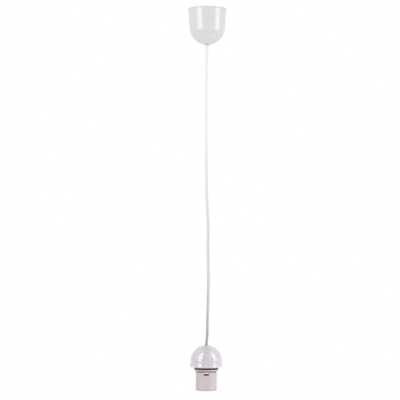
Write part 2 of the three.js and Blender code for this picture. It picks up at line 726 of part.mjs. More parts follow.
function contactRivet(sign) {
  const seat = insertBottom - STRIP.thickness - GAP * 2;
  const head = post(RIVET.head / 2, seat - RIVET.headHeight, seat, sign * RIVET.offset, 0);
  const shankTop = insertTop + GAP + RIVET.bite;
  const shank = post(RIVET.shank / 2, seat - RIVET.headHeight / 2, shankTop, sign * RIVET.offset, 0);
  return join(head, shank);
}

function rivetedStrip(centreLine, sign) {
  const flat = insertBottom - GAP - STRIP.thickness / 2;
  const hole = post(RIVET.shank / 2 + GAP, flat - 1, flat + 1, sign * RIVET.offset, 0);
  const made = strip(centreLine(flat), STRIP.thickness, STRIP.width);
  return cut(made, hole);
}

function centreContact() {
  const tip = insertBottom - CONTACT_DROP;
  return rivetedStrip(
    (flat) => [
      [RIVET.offset + 2.4, flat],
      [RIVET.offset - 2.6, flat],
      [RIVET.offset - 4.4, flat - 1],
      [3.2, tip + 1.3],
      [1.4, tip + 0.2],
      [-0.6, tip],
      [-2.4, tip + 0.9],
    ],
    1,
  );
}

function sideContact() {
  const wall = shellMajor + SHELL.wall + GAP + STRIP.thickness / 2;
  return rivetedStrip(
    (flat) => [
      [-RIVET.offset + 2.4, flat],
      [-wall + 1.2, flat],
      [-wall, flat - 1.2],
      [-wall, shellTop - 6],
    ],
    -1,
  );
}

function skirtOutline() {
  const [low, high] = [skirtBottom, skirtTop];
  const bore = skirtBore;
  const ringStart = high - RING_THREAD.start;
  const ridges = Array.from({ length: RING_THREAD.turns }, (_, i) => {
    const z = ringStart - i * RING_THREAD.pitch;
    return [
      [skirtRadius, z],
      [skirtRadius - RING_THREAD.depth, z - RING_THREAD.pitch / 2],
    ];
  }).flat();
  return [
    [neckBore, neckTop],
    [neckRadius, neckTop],
    [neckRadius, high],
    [skirtRadius - 0.4, high],
    [skirtRadius, high - 0.4],
    ...ridges,
    [skirtRadius, low + SKIRT.edge],
    [skirtRadius - SKIRT.edge * 0.3, low + SKIRT.edge * 0.3],
    [skirtRadius - SKIRT.edge, low],
    [bore, low],
    [bore, shellEnd - 1.5],
    [bore - SKIRT.ledge, shellEnd - 1.5],
    [bore - SKIRT.ledge, shellEnd + 0.5],
    [bore, shellEnd + 0.5],
    [bore, high - 1],
    [neckBore, high],
  ];
}

function holderSkirt() {
  const windows = block(
    [-WINDOW.width / 2, -skirtRadius - CUT_OVERRUN, windowTop - WINDOW.height],
    [WINDOW.width / 2, skirtRadius + CUT_OVERRUN, windowTop],
  );
  return cut(turned(skirtOutline()), windows);
}

// The lamp's screw shell, with rings in place of its helix.
function screwShell() {
  const outer = [];
  const inner = [];
  for (let i = 0; i < SHELL.turns; i++) {
    const z = shellTop - i * SHELL.pitch;
    const crest = z - SHELL.pitch / 2;
    outer.push([SHELL.minor + SHELL.wall, z - 0.5], [shellMajor + SHELL.wall, crest]);
    inner.push([SHELL.minor, z - 0.5], [shellMajor, crest]);
  }
  const flange = skirtBore - SKIRT.ledge - GAP;
  return turned(
    [
      [SHELL.minor + SHELL.wall, shellTop],
      ...outer,
      [SHELL.minor + SHELL.wall, shellEnd],
      [flange, shellEnd],
      [flange, shellEnd - SHELL.wall],
      [SHELL.minor, shellEnd - SHELL.wall],
      ...inner.reverse(),
      [SHELL.minor, shellTop],
    ],
    28,
  );
}

// A tongue inside the skirt's neck, whose nose fills the upper half of the skirt's window.
function latch(sign) {
  const halfWidth = LATCH.width / 2;
  const innerFace = latchFace - LATCH.thickness;
  const rootTop = insertBottom - GAP;
  const noseTop = windowTop - GAP;
  const noseBottom = noseTop - LATCH_NOSE.height;
  const noseTip = Math.sqrt(skirtRadius ** 2 - halfWidth ** 2) - LATCH_NOSE.inset;
  const outline = [
    [latchRoot, rootTop],
    [latchFace, rootTop],
    [latchFace, noseTop],
    [noseTip, noseTop],
    [noseTip, noseBottom + LATCH_NOSE.edge],
    [noseTip - LATCH_NOSE.edge, noseBottom],
    [innerFace, noseBottom],
    [innerFace, rootTop - LATCH.rootHeight - LATCH.root / 2],
    [latchRoot, rootTop - LATCH.rootHeight],
  ].map(([r, z]) => new THREE.Vector2(r, z));
  const tongue = new THREE.ExtrudeGeometry(new THREE.Shape(outline), {
    depth: LATCH.width,
    bevelEnabled: false,
    curveSegments: 1,
  });
  // The outline lies in a plane through the axis; its depth becomes the tongue's width along X.
  tongue.translate(0, 0, -halfWidth).rotateX(Math.PI / 2);
  return tongue.rotateZ((sign * Math.PI) / 2);
}

function buildHolder() {
  add("dome_cover", domeCover(), MILKY);
  add("cord_grip", cordGrip(), HOLDER_PLASTIC);
  add("grip_screw", gripScrew(), NYLON);
  add("grip_locknut", lockNut(), STEEL);
  add("holder_cap", holderCap(), HOLDER_PLASTIC);
  add("gasket_ring", gasketRing(), DARK_RUBBER);
  add("contact_insert", contactInsert(), CERAMIC);
  [["front", -1], ["back", 1]].forEach(([side, sign]) => {
    const seat = insertBottom - GAP;
    const reach = INSERT.thickness + GAP + 4;
    add(`insert_screw_${side}`, screwUp(INSERT_SCREW, seat, reach, 0, sign * insertScrewSide), STEEL);
    add(`latch_${side}`, latch(sign), HOLDER_PLASTIC);
  });
  [["side", -1], ["centre", 1]].forEach(([pole, sign]) => {
    add(`holder_terminal_${pole}`, terminalBlock(sign), BRASS);
    const seat = blockTop + GAP;
    const reach = TERMINAL_BLOCK.height / 2 - CORE.diameter / 2;
    const x = sign * (TERMINAL_BLOCK.offset - 1);
    add(`holder_terminal_screw_${pole}`, screwDown(BLOCK_SCREW, seat, reach, x, 0), STEEL);
    add(`contact_rivet_${pole}`, contactRivet(sign), BRASS);
  });
  add("bottom_core_live", bottomCore(1), BROWN_CORE);
  add("bottom_core_neutral", bottomCore(-1), BLUE_CORE);
  add("centre_contact", centreContact(), BRASS);
  add("side_contact", sideContact(), BRASS);
  add("holder_skirt", holderSkirt(), HOLDER_PLASTIC);
  add("screw_shell", screwShell(), BRASS);
}

buildCeilingFixing();
buildClamp();
buildTerminal();
poles.forEach(({ name, sign, finish }) => add(`top_core_${name}`, topCore(sign), finish));
buildCanopy();
add("cord", wire(CORD_ROUTE, CORD_DIAMETER, CORD_SIDES, CORD_STEPS), CORD_PVC);
buildHolder();

export default pendant;
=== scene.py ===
"""A ceiling pendant cord set: a white ceiling cup, a pale round cord and a lampholder under a domed cover.

Everything is in metres, +Z up, with the origin where the fixing plate meets the ceiling.
"""

import json
import math

import bmesh
import bpy
from mathutils import Matrix, Vector


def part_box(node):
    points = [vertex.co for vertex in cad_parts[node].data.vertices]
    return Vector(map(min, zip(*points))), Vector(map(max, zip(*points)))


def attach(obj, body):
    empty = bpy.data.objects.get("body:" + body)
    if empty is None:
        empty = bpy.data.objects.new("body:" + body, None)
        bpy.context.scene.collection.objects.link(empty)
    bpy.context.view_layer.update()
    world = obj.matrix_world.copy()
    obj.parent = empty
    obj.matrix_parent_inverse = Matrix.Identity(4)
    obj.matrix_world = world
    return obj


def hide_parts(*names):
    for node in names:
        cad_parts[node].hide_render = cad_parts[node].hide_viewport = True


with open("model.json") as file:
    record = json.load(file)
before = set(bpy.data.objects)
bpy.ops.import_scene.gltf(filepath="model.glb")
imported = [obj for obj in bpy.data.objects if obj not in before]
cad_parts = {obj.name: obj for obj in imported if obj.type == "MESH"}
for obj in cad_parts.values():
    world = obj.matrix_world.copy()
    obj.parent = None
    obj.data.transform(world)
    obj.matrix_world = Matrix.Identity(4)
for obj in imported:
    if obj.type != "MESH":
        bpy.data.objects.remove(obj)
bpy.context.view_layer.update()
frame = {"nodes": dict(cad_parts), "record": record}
NODE_BODY = {node: body for body, nodes in frame["record"]["behaviour"]["bodies"].items() for node in nodes}

MM = 0.001
SPIN_STEPS = 96  # round the large turned pieces
FINE_SPIN_STEPS = 32  # round screws, rivets and bushes
SHARP_ANGLE = math.radians(38)
TUBE_SHARP_ANGLE = math.radians(60)
FLAT_ANGLE = math.radians(1)
MERGE = 1e-7
FILLET_STEPS = 4
CORNER_REACH = 0.49  # share of a side that a rounded corner may take
THREAD_DEPTH = 0.35  # share of the pitch
GAP = 0.3 * MM  # between neighbouring pieces
OVERCUT = MM  # how far a cutting tool reaches past the piece it cuts
UP = (0, 0, 1)
DOWN = (0, 0, -1)
RIGHT = (1, 0, 0)


# ---- places taken from the frame ----

def low(node):
    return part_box(node)[0]


def high(node):
    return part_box(node)[1]


def middle(node):
    lowest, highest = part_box(node)
    return [(a + b) / 2 for a, b in zip(lowest, highest)]


def radius(node):
    return (high(node)[0] - low(node)[0]) / 2


# ---- camera ----

CAMERA_DISTANCE = 2.4053
CAMERA_HEIGHT = -0.4614
CAMERA_SIDE = -0.0125
AIM_HEIGHT = -0.3614
CAMERA_ROLL = math.radians(0.18)
CAMERA_REACH = 50
LENS = 116.4
SENSOR = 36


def build_camera():
    data = bpy.data.cameras.new("camera")
    data.lens = LENS
    data.sensor_width = SENSOR
    data.clip_end = CAMERA_REACH
    camera = bpy.data.objects.new("camera", data)
    bpy.context.collection.objects.link(camera)
    camera.location = (CAMERA_SIDE, -CAMERA_DISTANCE, CAMERA_HEIGHT)
    sight = Vector((CAMERA_SIDE, 0, AIM_HEIGHT)) - camera.location
    turn = sight.to_track_quat("-Z", "Y").to_matrix() @ Matrix.Rotation(CAMERA_ROLL, 3, "Z")
    camera.rotation_euler = turn.to_euler()
    bpy.context.scene.camera = camera


# ---- shader groups ----

def socket(group, name, way, kind, default=None):
    made = group.interface.new_socket(name=name, in_out=way, socket_type=kind)
    if default is not None:
        made.default_value = default


def new_group(name, inputs, outputs):
    group = bpy.data.node_groups.new(name, "ShaderNodeTree")
    for label, kind, default in inputs:
        socket(group, label, "INPUT", kind, default)
    for label, kind in outputs:
        socket(group, label, "OUTPUT", kind)
    return group, group.nodes.new("NodeGroupInput"), group.nodes.new("NodeGroupOutput")


def add_node(tree, kind, **values):
    """Adds a node; a value's name is a property of the node or, with spaces for underscores, a socket."""
    node = tree.nodes.new(kind)
    for name, value in values.items():
        label = name.replace("_", " ")
        if label in node.inputs:
            node.inputs[label].default_value = value
        else:
            setattr(node, name, value)
    return node


def moulded_surface_group():
    """Fine moulding grain, broad mottle and rare fine scuffs of an injection-moulded wall."""
    group, given, out = new_group(
        "moulded_surface",
        [("Vector", "NodeSocketVector", None), ("Grain Scale", "NodeSocketFloat", 1400.0),
         ("Mottle Scale", "NodeSocketFloat", 60.0), ("Scuff Scale", "NodeSocketFloat", 220.0)],
        [("Height", "NodeSocketFloat"), ("Mottle", "NodeSocketFloat"), ("Scuff", "NodeSocketFloat")],
    )
    grain = add_node(group, "ShaderNodeTexNoise", Detail=3.0, Roughness=0.6)
    mottle = add_node(group, "ShaderNodeTexNoise", Detail=4.0, Roughness=0.55)
    scuff = add_node(group, "ShaderNodeTexNoise", Detail=6.0, Roughness=0.7, Distortion=1.5)
    scuff_edge = add_node(group, "ShaderNodeMapRange", From_Min=0.6, From_Max=0.72)
    for texture, scale in ((grain, "Grain Scale"), (mottle, "Mottle Scale"), (scuff, "Scuff Scale")):
        group.links.new(given.outputs["Vector"], texture.inputs["Vector"])
        group.links.new(given.outputs[scale], texture.inputs["Scale"])
    group.links.new(scuff.outputs["Fac"], scuff_edge.inputs["Value"])
    group.links.new(grain.outputs["Fac"], out.inputs["Height"])
    group.links.new(mottle.outputs["Fac"], out.inputs["Mottle"])
    group.links.new(scuff_edge.outputs["Result"], out.inputs["Scuff"])
    return group


LINE_STRETCH = (0.12, 0.12, 1.0)  # the drawing lines run round the Z axis


def drawn_metal_group():
    """Lines of drawing or turning along Z, with small pits and a slow change of tarnish."""
    group, given, out = new_group(
        "drawn_metal",
        [("Vector", "NodeSocketVector", None), ("Line Scale", "NodeSocketFloat", 900.0),
         ("Tarnish Scale", "NodeSocketFloat", 180.0)],
        [("Height", "NodeSocketFloat"), ("Tarnish", "NodeSocketFloat")],
    )
    squash = add_node(group, "ShaderNodeMapping")
    squash.inputs["Scale"].default_value = LINE_STRETCH
    lines = add_node(group, "ShaderNodeTexNoise", Detail=2.0, Roughness=0.6)
    tarnish = add_node(group, "ShaderNodeTexNoise", Detail=5.0, Roughness=0.6)
    group.links.new(given.outputs["Vector"], squash.inputs["Vector"])
    group.links.new(squash.outputs["Vector"], lines.inputs["Vector"])
    group.links.new(given.outputs["Line Scale"], lines.inputs["Scale"])
    group.links.new(given.outputs["Vector"], tarnish.inputs["Vector"])
    group.links.new(given.outputs["Tarnish Scale"], tarnish.inputs["Scale"])
    group.links.new(lines.outputs["Fac"], out.inputs["Height"])
    group.links.new(tarnish.outputs["Fac"], out.inputs["Tarnish"])
    return group


MOULDED = moulded_surface_group()
DRAWN = drawn_metal_group()


# ---- materials ----

def linear(red, green, blue):
    """Turns screen values from 0 to 255 into the linear colour that shaders take."""
    def one(value):
        share = value / 255
        return share / 12.92 if share <= 0.04045 else ((share + 0.055) / 1.055) ** 2.4
    return (one(red), one(green), one(blue), 1.0)


def bare_material(name):
    made = bpy.data.materials.new(name)
    made.use_nodes = True
    tree = made.node_tree
    return made, tree, tree.nodes["Principled BSDF"]


def maths(tree, operation, *values):
    """Adds one math step on the given values, each a number or another node's output."""
    made = add_node(tree, "ShaderNodeMath", operation=operation)
    for given, value in zip(made.inputs, values):
        if isinstance(value, (int, float)):
            given.default_value = value
        else:
            tree.links.new(value, given)
    return made.outputs[0]


def blend_colours(tree, factor, first, second, **settings):
    """Mixes two colours, each a colour value or another node's output."""
    mix = add_node(tree, "ShaderNodeMix", data_type="RGBA", **settings)
    for given, colour in zip([s for s in mix.inputs if s.type == "RGBA"], (first, second)):
        if isinstance(colour, tuple):
            given.default_value = colour
        else:
            tree.links.new(colour, given)
    tree.links.new(factor, mix.inputs["Factor"])
    return [s for s in mix.outputs if s.type == "RGBA"][0]


NOISE_LOW = 0.3  # a noise mostly stays between these two
NOISE_HIGH = 0.7


def spread(tree, value, lowest, highest):
    """Maps a noise's middle range to the given two values."""
    ranged = add_node(
        tree, "ShaderNodeMapRange", From_Min=NOISE_LOW, From_Max=NOISE_HIGH, To_Min=lowest, To_Max=highest)
    tree.links.new(value, ranged.inputs["Value"])
    return ranged.outputs["Result"]


def bump(tree, height, strength, distance):
    made = add_node(tree, "ShaderNodeBump", Strength=strength, Distance=distance)
    tree.links.new(height, made.inputs["Height"])
    return made.outputs["Normal"]


# how softly the edge of a painted shade band fades
SHADE_BAND_FADE = 0.5 * MM


def paint_band_shade(tree, where, colour, shade_band):
    """Darkens a colour in a level band: painted shade."""
    middle_height, half_height, tint = shade_band
    parts = add_node(tree, "ShaderNodeSeparateXYZ")
    tree.links.new(where, parts.inputs["Vector"])
    away = maths(tree, "ABSOLUTE", maths(tree, "SUBTRACT", parts.outputs["Z"], middle_height))
    band = add_node(
        tree, "ShaderNodeMapRange", From_Min=half_height, From_Max=half_height + SHADE_BAND_FADE,
        To_Min=1.0, To_Max=0.0, interpolation_type="SMOOTHSTEP")
    tree.links.new(away, band.inputs["Value"])
    return blend_colours(tree, band.outputs["Result"], colour, tint, blend_type="MULTIPLY")


GRAIN_DEPTH = 0.06 * MM
COAT_ROUGHNESS = 0.2


def moulded_plastic(
        name, light, shade, gloss, relief, coat=0.0, alpha=1.0, grain=1400.0, shine=0.5, shade_bands=()):
    """Moulded plastic: light and shade are its two mottle colours, gloss its two roughness ends; shade bands
    are painted shade.
    """
    made, tree, shader = bare_material(name)
    where = add_node(tree, "ShaderNodeTexCoord")
    surface = add_node(tree, "ShaderNodeGroup", node_tree=MOULDED)
    surface.inputs["Grain Scale"].default_value = grain
    tree.links.new(where.outputs["Object"], surface.inputs["Vector"])
    mottle = spread(tree, surface.outputs["Mottle"], 0.0, 1.0)
    colour = blend_colours(tree, mottle, light, shade)
    # painted shade in level bands
    for shade_band in shade_bands:
        colour = paint_band_shade(tree, where.outputs["Object"], colour, shade_band)
    tree.links.new(colour, shader.inputs["Base Color"])
    rough = spread(tree, surface.outputs["Scuff"], gloss[0], gloss[1])
    tree.links.new(rough, shader.inputs["Roughness"])
    tree.links.new(bump(tree, surface.outputs["Height"], relief, GRAIN_DEPTH), shader.inputs["Normal"])
    shader.inputs["Coat Weight"].default_value = coat
    shader.inputs["Coat Roughness"].default_value = COAT_ROUGHNESS
    shader.inputs["Specular IOR Level"].default_value = shine
    shader.inputs["Alpha"].default_value = alpha
    return made


DRAWING_DEPTH = 0.04 * MM
DRAWING_STRENGTH = 0.25
POLISHED = 0.06  # how much smoother than the middle the cleanest places are
TARNISHED = 0.1  # and how much rougher the dullest


def metal(name, light, shade, roughness):
    made, tree, shader = bare_material(name)
    where = add_node(tree, "ShaderNodeTexCoord")
    surface = add_node(tree, "ShaderNodeGroup", node_tree=DRAWN)
    tree.links.new(where.outputs["Object"], surface.inputs["Vector"])
    tarnish = spread(tree, surface.outputs["Tarnish"], 0.0, 1.0)
    tree.links.new(blend_colours(tree, tarnish, light, shade), shader.inputs["Base Color"])
    rough = spread(tree, surface.outputs["Tarnish"], roughness - POLISHED, roughness + TARNISHED)
    tree.links.new(rough, shader.inputs["Roughness"])
    lines = bump(tree, surface.outputs["Height"], DRAWING_STRENGTH, DRAWING_DEPTH)
    tree.links.new(lines, shader.inputs["Normal"])
    shader.inputs["Metallic"].default_value = 1.0
    return made


CORE_TWISTS = 0.9  # turns of the core pair along the whole cord
CORE_EDGE = (-0.5, 0.9)  # cosines between which a core's side fades in
CORE_AND_SHADE_FADE = (0.28, 0.88)  # shares of the cord's length between which painted shade darkens the sheath and the cores come to show
SHEATH_TOP = linear(250, 249, 252)
# the sheath's colour at the lower end, darkened as painted shade
SHEATH_SHADED_END = linear(196, 195, 201)
CORE_SHADE = linear(168, 165, 175)
SHEATH_ROUGHNESS = (0.28, 0.42)
SHEATH_RELIEF = 0.15
SHEATH_GRAIN_DEPTH = 0.05 * MM
SHEATH_COAT = 0.2


def core_pattern(tree, along, around):
    """One where a core of the twisted pair lies under the sheath, and nought between the two."""
    turned = maths(tree, "ADD", around, maths(tree, "MULTIPLY", along, CORE_TWISTS))
    wave = maths(tree, "COSINE", maths(tree, "MULTIPLY", turned, 4 * math.pi))
    core = add_node(
        tree, "ShaderNodeMapRange", From_Min=CORE_EDGE[0], From_Max=CORE_EDGE[1],
        interpolation_type="SMOOTHSTEP")
    tree.links.new(wave, core.inputs["Value"])
    return core.outputs["Result"]


def cord_sheath():
    """A pale sheath with two slowly twisting cores; towards the lower end painted shade darkens the sheath
    and the cores show through more.
    """
    made, tree, shader = bare_material("cord_sheath")
    where = add_node(tree, "ShaderNodeTexCoord")
    parts = add_node(tree, "ShaderNodeSeparateXYZ")
    tree.links.new(where.outputs["UV"], parts.inputs["Vector"])
    along, around = parts.outputs["X"], parts.outputs["Y"]
    fade = add_node(
        tree, "ShaderNodeMapRange", From_Min=CORE_AND_SHADE_FADE[0], From_Max=CORE_AND_SHADE_FADE[1], To_Min=0.0, To_Max=1.0)
    tree.links.new(along, fade.inputs["Value"])
    depth = fade.outputs["Result"]
    shown = maths(tree, "MULTIPLY", core_pattern(tree, along, around), depth)
    # painted shade: the sheath darkens towards the lower end
    sheath = blend_colours(tree, depth, SHEATH_TOP, SHEATH_SHADED_END)
    tree.links.new(blend_colours(tree, shown, sheath, CORE_SHADE), shader.inputs["Base Color"])
    surface = add_node(tree, "ShaderNodeGroup", node_tree=MOULDED)
    tree.links.new(where.outputs["Object"], surface.inputs["Vector"])
    tree.links.new(spread(tree, surface.outputs["Mottle"], *SHEATH_ROUGHNESS), shader.inputs["Roughness"])
    grain = bump(tree, surface.outputs["Height"], SHEATH_RELIEF, SHEATH_GRAIN_DEPTH)
    tree.links.new(grain, shader.inputs["Normal"])
    shader.inputs["Coat Weight"].default_value = SHEATH_COAT
    return made


# A band's middle height, half its height and its tint; each band below is painted shade.
# painted shade in the seam under the cap's lip
HOLDER_SEAM_SHADE = (low("holder_cap")[2] - 0.5 * MM, 1.4 * MM, linear(205, 200, 200))
# painted shade along the skirt's lower edge
SKIRT_EDGE_SHADE = (low("holder_skirt")[2], 2.6 * MM, linear(238, 240, 242))

FINISH = {
    "canopy_white": moulded_plastic(
        "glossy_cup_plastic", linear(236, 236, 236), linear(233, 233, 234), (0.2, 0.28), 0.015, coat=0.3),
    "dome_milky": moulded_plastic(
        "milky_cover_plastic", linear(245, 240, 248), linear(241, 236, 245), (0.14, 0.2), 0.015,
        coat=1.0, alpha=0.52, shine=1.0),
    "holder_plastic": moulded_plastic(
        "warm_holder_plastic", linear(222, 210, 209), linear(216, 203, 203), (0.38, 0.5), 0.2,
        shade_bands=(HOLDER_SEAM_SHADE, SKIRT_EDGE_SHADE)),
    "gasket_rubber": moulded_plastic(
        "dark_gasket_rubber", linear(56, 49, 52), linear(46, 40, 43), (0.6, 0.75), 0.4, grain=2200.0,
        shine=0.25),
    "cord_pvc": cord_sheath(),
    "nylon": moulded_plastic("natural_nylon", linear(232, 229, 217), linear(225, 221, 207), (0.4, 0.5), 0.2),
    "insert_ceramic": moulded_plastic(
        "glazed_insert", linear(238, 234, 225), linear(231, 226, 215), (0.22, 0.32), 0.12, coat=0.2),
    "core_brown": moulded_plastic("brown_core", linear(112, 70, 46), linear(98, 60, 40), (0.35, 0.45), 0.1),
    "core_blue": moulded_plastic("blue_core", linear(62, 112, 182), linear(52, 100, 168), (0.35, 0.45), 0.1),
    "brass": metal("stamped_brass", linear(216, 186, 116), linear(186, 152, 86), 0.3),
    "steel": metal("zinc_plated_steel", linear(200, 202, 205), linear(168, 171, 176), 0.34),
}
FLOOR_FINISH = moulded_plastic(
    "pale_floor", linear(242, 242, 242), linear(238, 238, 238), (0.7, 0.8), 0.1)
# A lighter copy of the holder plastic for the latches: painted light that makes the latch noses show brighter
# than the skirt.
LATCH_PAINTED_LIGHT = moulded_plastic(
    "holder_plastic_painted_lighter", linear(252, 245, 241), linear(249, 241, 237), (0.38, 0.5), 0.2)
NODE_SLOT = {part["node"]: part["material_slot"] for part in frame["record"]["subparts"]}


# ---- mesh helpers ----

def place(mesh, node):
    """Shows a mesh in the place of a CAD node, on that node's body and with its material slot's finish."""
    slot = NODE_SLOT[node]
    mesh.materials.clear()
    mesh.materials.append(FINISH[slot])
    piece = bpy.data.objects.new(node + "_look", mesh)
    bpy.context.collection.objects.link(piece)
    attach(piece, NODE_BODY[node])
    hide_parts(node)
    return piece


def smooth(mesh, angle=SHARP_ANGLE):
    mesh.shade_smooth()
    mesh.set_sharp_from_angle(angle=angle)
    return mesh


def to_piece(bm, node):
    mesh = bpy.data.meshes.new(node)
    bm.to_mesh(mesh)
    bm.free()
    return place(smooth(mesh), node)


def finish_piece(bm, node):
    """Merges what meets, turns the faces outwards and shows the result as a piece."""
    bmesh.ops.remove_doubles(bm, verts=bm.verts, dist=MERGE)
    bmesh.ops.recalc_face_normals(bm, faces=bm.faces)
    return to_piece(bm, node)


def join(bm, other):
    """Adds the other bmesh to the first, as it is."""
    mesh = bpy.data.meshes.new("scratch")
    other.to_mesh(mesh)
    other.free()
    bm.from_mesh(mesh)
    bpy.data.meshes.remove(mesh)


def soften(bm, width, segments=2, over=40):
    """Rounds every edge whose faces meet at more than the given angle in degrees."""
    sharp = [e for e in bm.edges if len(e.link_faces) == 2 and e.calc_face_angle() > math.radians(over)]
    bmesh.ops.bevel(
        bm, geom=sharp, offset=width, affect="EDGES", segments=segments, profile=0.5,
        material=-1, clamp_overlap=True,
    )
    return bm


def block(lowest, highest):
    bm = bmesh.new()
    size = Vector(highest) - Vector(lowest)
    centre = (Vector(highest) + Vector(lowest)) / 2
    bmesh.ops.create_cube(bm, size=1, matrix=Matrix.Translation(centre) @ Matrix.Diagonal((*size, 1)))
    return bm


def bar(start, end, thickness, segments=FINE_SPIN_STEPS):
    """A round bar between two points; thickness is its diameter."""
    bm = bmesh.new()
    line = Vector(end) - Vector(start)
    turn = line.to_track_quat("Z", "Y").to_matrix().to_4x4()
    centre = (Vector(end) + Vector(start)) / 2
    bmesh.ops.create_cone(
        bm, cap_ends=True, segments=segments, radius1=thickness / 2, radius2=thickness / 2,
        depth=line.length, matrix=Matrix.Translation(centre) @ turn,
    )
    return bm


def scratch_object(bm):
    mesh = bpy.data.meshes.new("scratch")
    bmesh.ops.recalc_face_normals(bm, faces=bm.faces)
    bm.to_mesh(mesh)
    bm.free()
    made = bpy.data.objects.new("scratch", mesh)
    bpy.context.collection.objects.link(made)
    return made


def carve(body, tools, operation="DIFFERENCE"):
    """Cuts the tools from the body, or joins or meets them with it, and returns the result as a bmesh."""
    base = scratch_object(body)
    helpers = [scratch_object(tool) for tool in tools]
    for helper in helpers:
        step = base.modifiers.new("carve", "BOOLEAN")
        step.operation = operation
        step.solver = "EXACT"
        step.object = helper
    bpy.context.view_layer.update()
    result = bpy.data.meshes.new_from_object(base.evaluated_get(bpy.context.evaluated_depsgraph_get()))
    bm = bmesh.new()
    bm.from_mesh(result)
    bpy.data.meshes.remove(result)
    for used in [base, *helpers]:
        bpy.data.meshes.remove(used.data)
    bmesh.ops.remove_doubles(bm, verts=bm.verts, dist=MERGE)
    return bm


def rounded(outline):
    """Rounds each corner of a closed outline whose point has a third value, the corner's radius."""
    made = []
    count = len(outline)
    for i, point in enumerate(outline):
        here = Vector(point[:2])
        if len(point) == 2:
            made.append(here)
            continue
        before = Vector(outline[i - 1][:2]) - here
        after = Vector(outline[(i + 1) % count][:2]) - here
        half = before.angle(after) / 2
        reach = min(point[2] / math.tan(half), before.length * CORNER_REACH, after.length * CORNER_REACH)
        start, end = here + before.normalized() * reach, here + after.normalized() * reach
        for step in range(FILLET_STEPS + 1):
            share = step / FILLET_STEPS
            made.append(start.lerp(here, share).lerp(here.lerp(end, share), share))
    return made


def spin(outline, steps=SPIN_STEPS, angle=2 * math.pi, rise=0.0, closed=True):
    """Spins an outline of (radius, z) about the Z axis, rising by the given height at each step."""
    bm = bmesh.new()
    verts = [bm.verts.new((r, 0, z)) for r, z in outline]
    ends = verts[1:] + verts[:1] if closed else verts[1:]
    edges = [bm.edges.new(pair) for pair in zip(verts, ends)]
    bmesh.ops.spin(
        bm, geom=verts + edges, cent=(0, 0, 0), axis=UP, dvec=(0, 0, rise), angle=angle,
        steps=steps, use_merge=not rise, use_duplicate=False,
    )
    bmesh.ops.remove_doubles(bm, verts=bm.verts, dist=MERGE)
    bmesh.ops.recalc_face_normals(bm, faces=bm.faces)
    return bm


def spun_piece(node, outline, steps=SPIN_STEPS):
    return finish_piece(spin(rounded(outline), steps), node)


def arc(middle_z, across, down, first, last, steps):
    """Points of an elliptic arc between two angles from the horizontal, in degrees, as (radius, z)."""
    turns = [math.radians(first + (last - first) * i / steps) for i in range(steps + 1)]
    return [(across * math.cos(t), middle_z + down * math.sin(t)) for t in turns]


def tube(node, points, diameter, spans=10, sides=6):
    """A round wire or cord on a smooth curve through the points; its UV runs along it and round it."""
    data = bpy.data.curves.new(node, "CURVE")
    data.dimensions = "3D"
    data.bevel_depth = diameter / 2
    data.bevel_resolution = sides
    data.use_fill_caps = True
    data.resolution_u = spans
    spline = data.splines.new("BEZIER")
    spline.bezier_points.add(len(points) - 1)
    for knot, point in zip(spline.bezier_points, points):
        knot.co = point
        knot.handle_left_type = knot.handle_right_type = "AUTO"
    curve = bpy.data.objects.new("scratch", data)
    bpy.context.collection.objects.link(curve)
    bpy.context.view_layer.update()
    mesh = bpy.data.meshes.new_from_object(curve.evaluated_get(bpy.context.evaluated_depsgraph_get()))
    bpy.data.curves.remove(data)
    mesh.name = node
    return place(smooth(mesh, TUBE_SHARP_ANGLE), node)


def copy_of(node):
    """A merged copy of a CAD node's solid, with its flat faces made whole."""
    bm = bmesh.new()
    bm.from_mesh(frame["nodes"][node].data)
    bmesh.ops.remove_doubles(bm, verts=bm.verts, dist=MERGE)
    bmesh.ops.dissolve_limit(bm, angle_limit=FLAT_ANGLE, verts=bm.verts, edges=bm.edges)
    return bm


# ---- screws, nuts and rivets ----

# Sizes of each kind of screw: its head's height, its shank's radius and its pitch.
PLATE_SCREW = (2.2 * MM, 1.8 * MM, 0.5 * MM)
CLAMP_SCREW = (2 * MM, 1.5 * MM, 0.5 * MM)
TERMINAL_SCREW = (1.4 * MM, 1.3 * MM, 0.45 * MM)
FIXING_SCREW = (1.6 * MM, 1.1 * MM, 0.45 * MM)
INSERT_SCREW = (1.4 * MM, 1.3 * MM, 0.5 * MM)
HOLDER_SCREW = (1.2 * MM, 1.1 * MM, 0.45 * MM)
CROWN_TURNS = (0.35, 0.7, 1.05, 1.4)  # round the edge of a head, in radians
CROWN_RISE = 0.45  # shares of the head's height
HEAD_SIDE = (0.6, 0.9)
SLOT_DEPTH = 0.5
SLOT_HALF_WIDTH = 0.14  # share of the head's radius
POINT_TAPER = (0.8, 0.6)  # shares of the shank's radius


def thread_rings(shank, start, end, pitch):
    """The zigzag of a fine thread along a shank, as outline points."""
    turns = max(int((end - start) / pitch), 1)
    depth = pitch * THREAD_DEPTH
    points = []
    for i in range(turns):
        z = start + (end - start) * i / turns
        points += [(shank - depth, z), (shank, z + (end - start) / turns / 2)]
    return points


def stand(bm, foot, direction):
    """Turns a piece that was made upright on the origin to point along direction from foot."""
    turn = Vector(direction).to_track_quat("Z", "Y").to_matrix().to_4x4()
    bmesh.ops.transform(bm, matrix=Matrix.Translation(foot) @ turn, verts=bm.verts)
    return bm


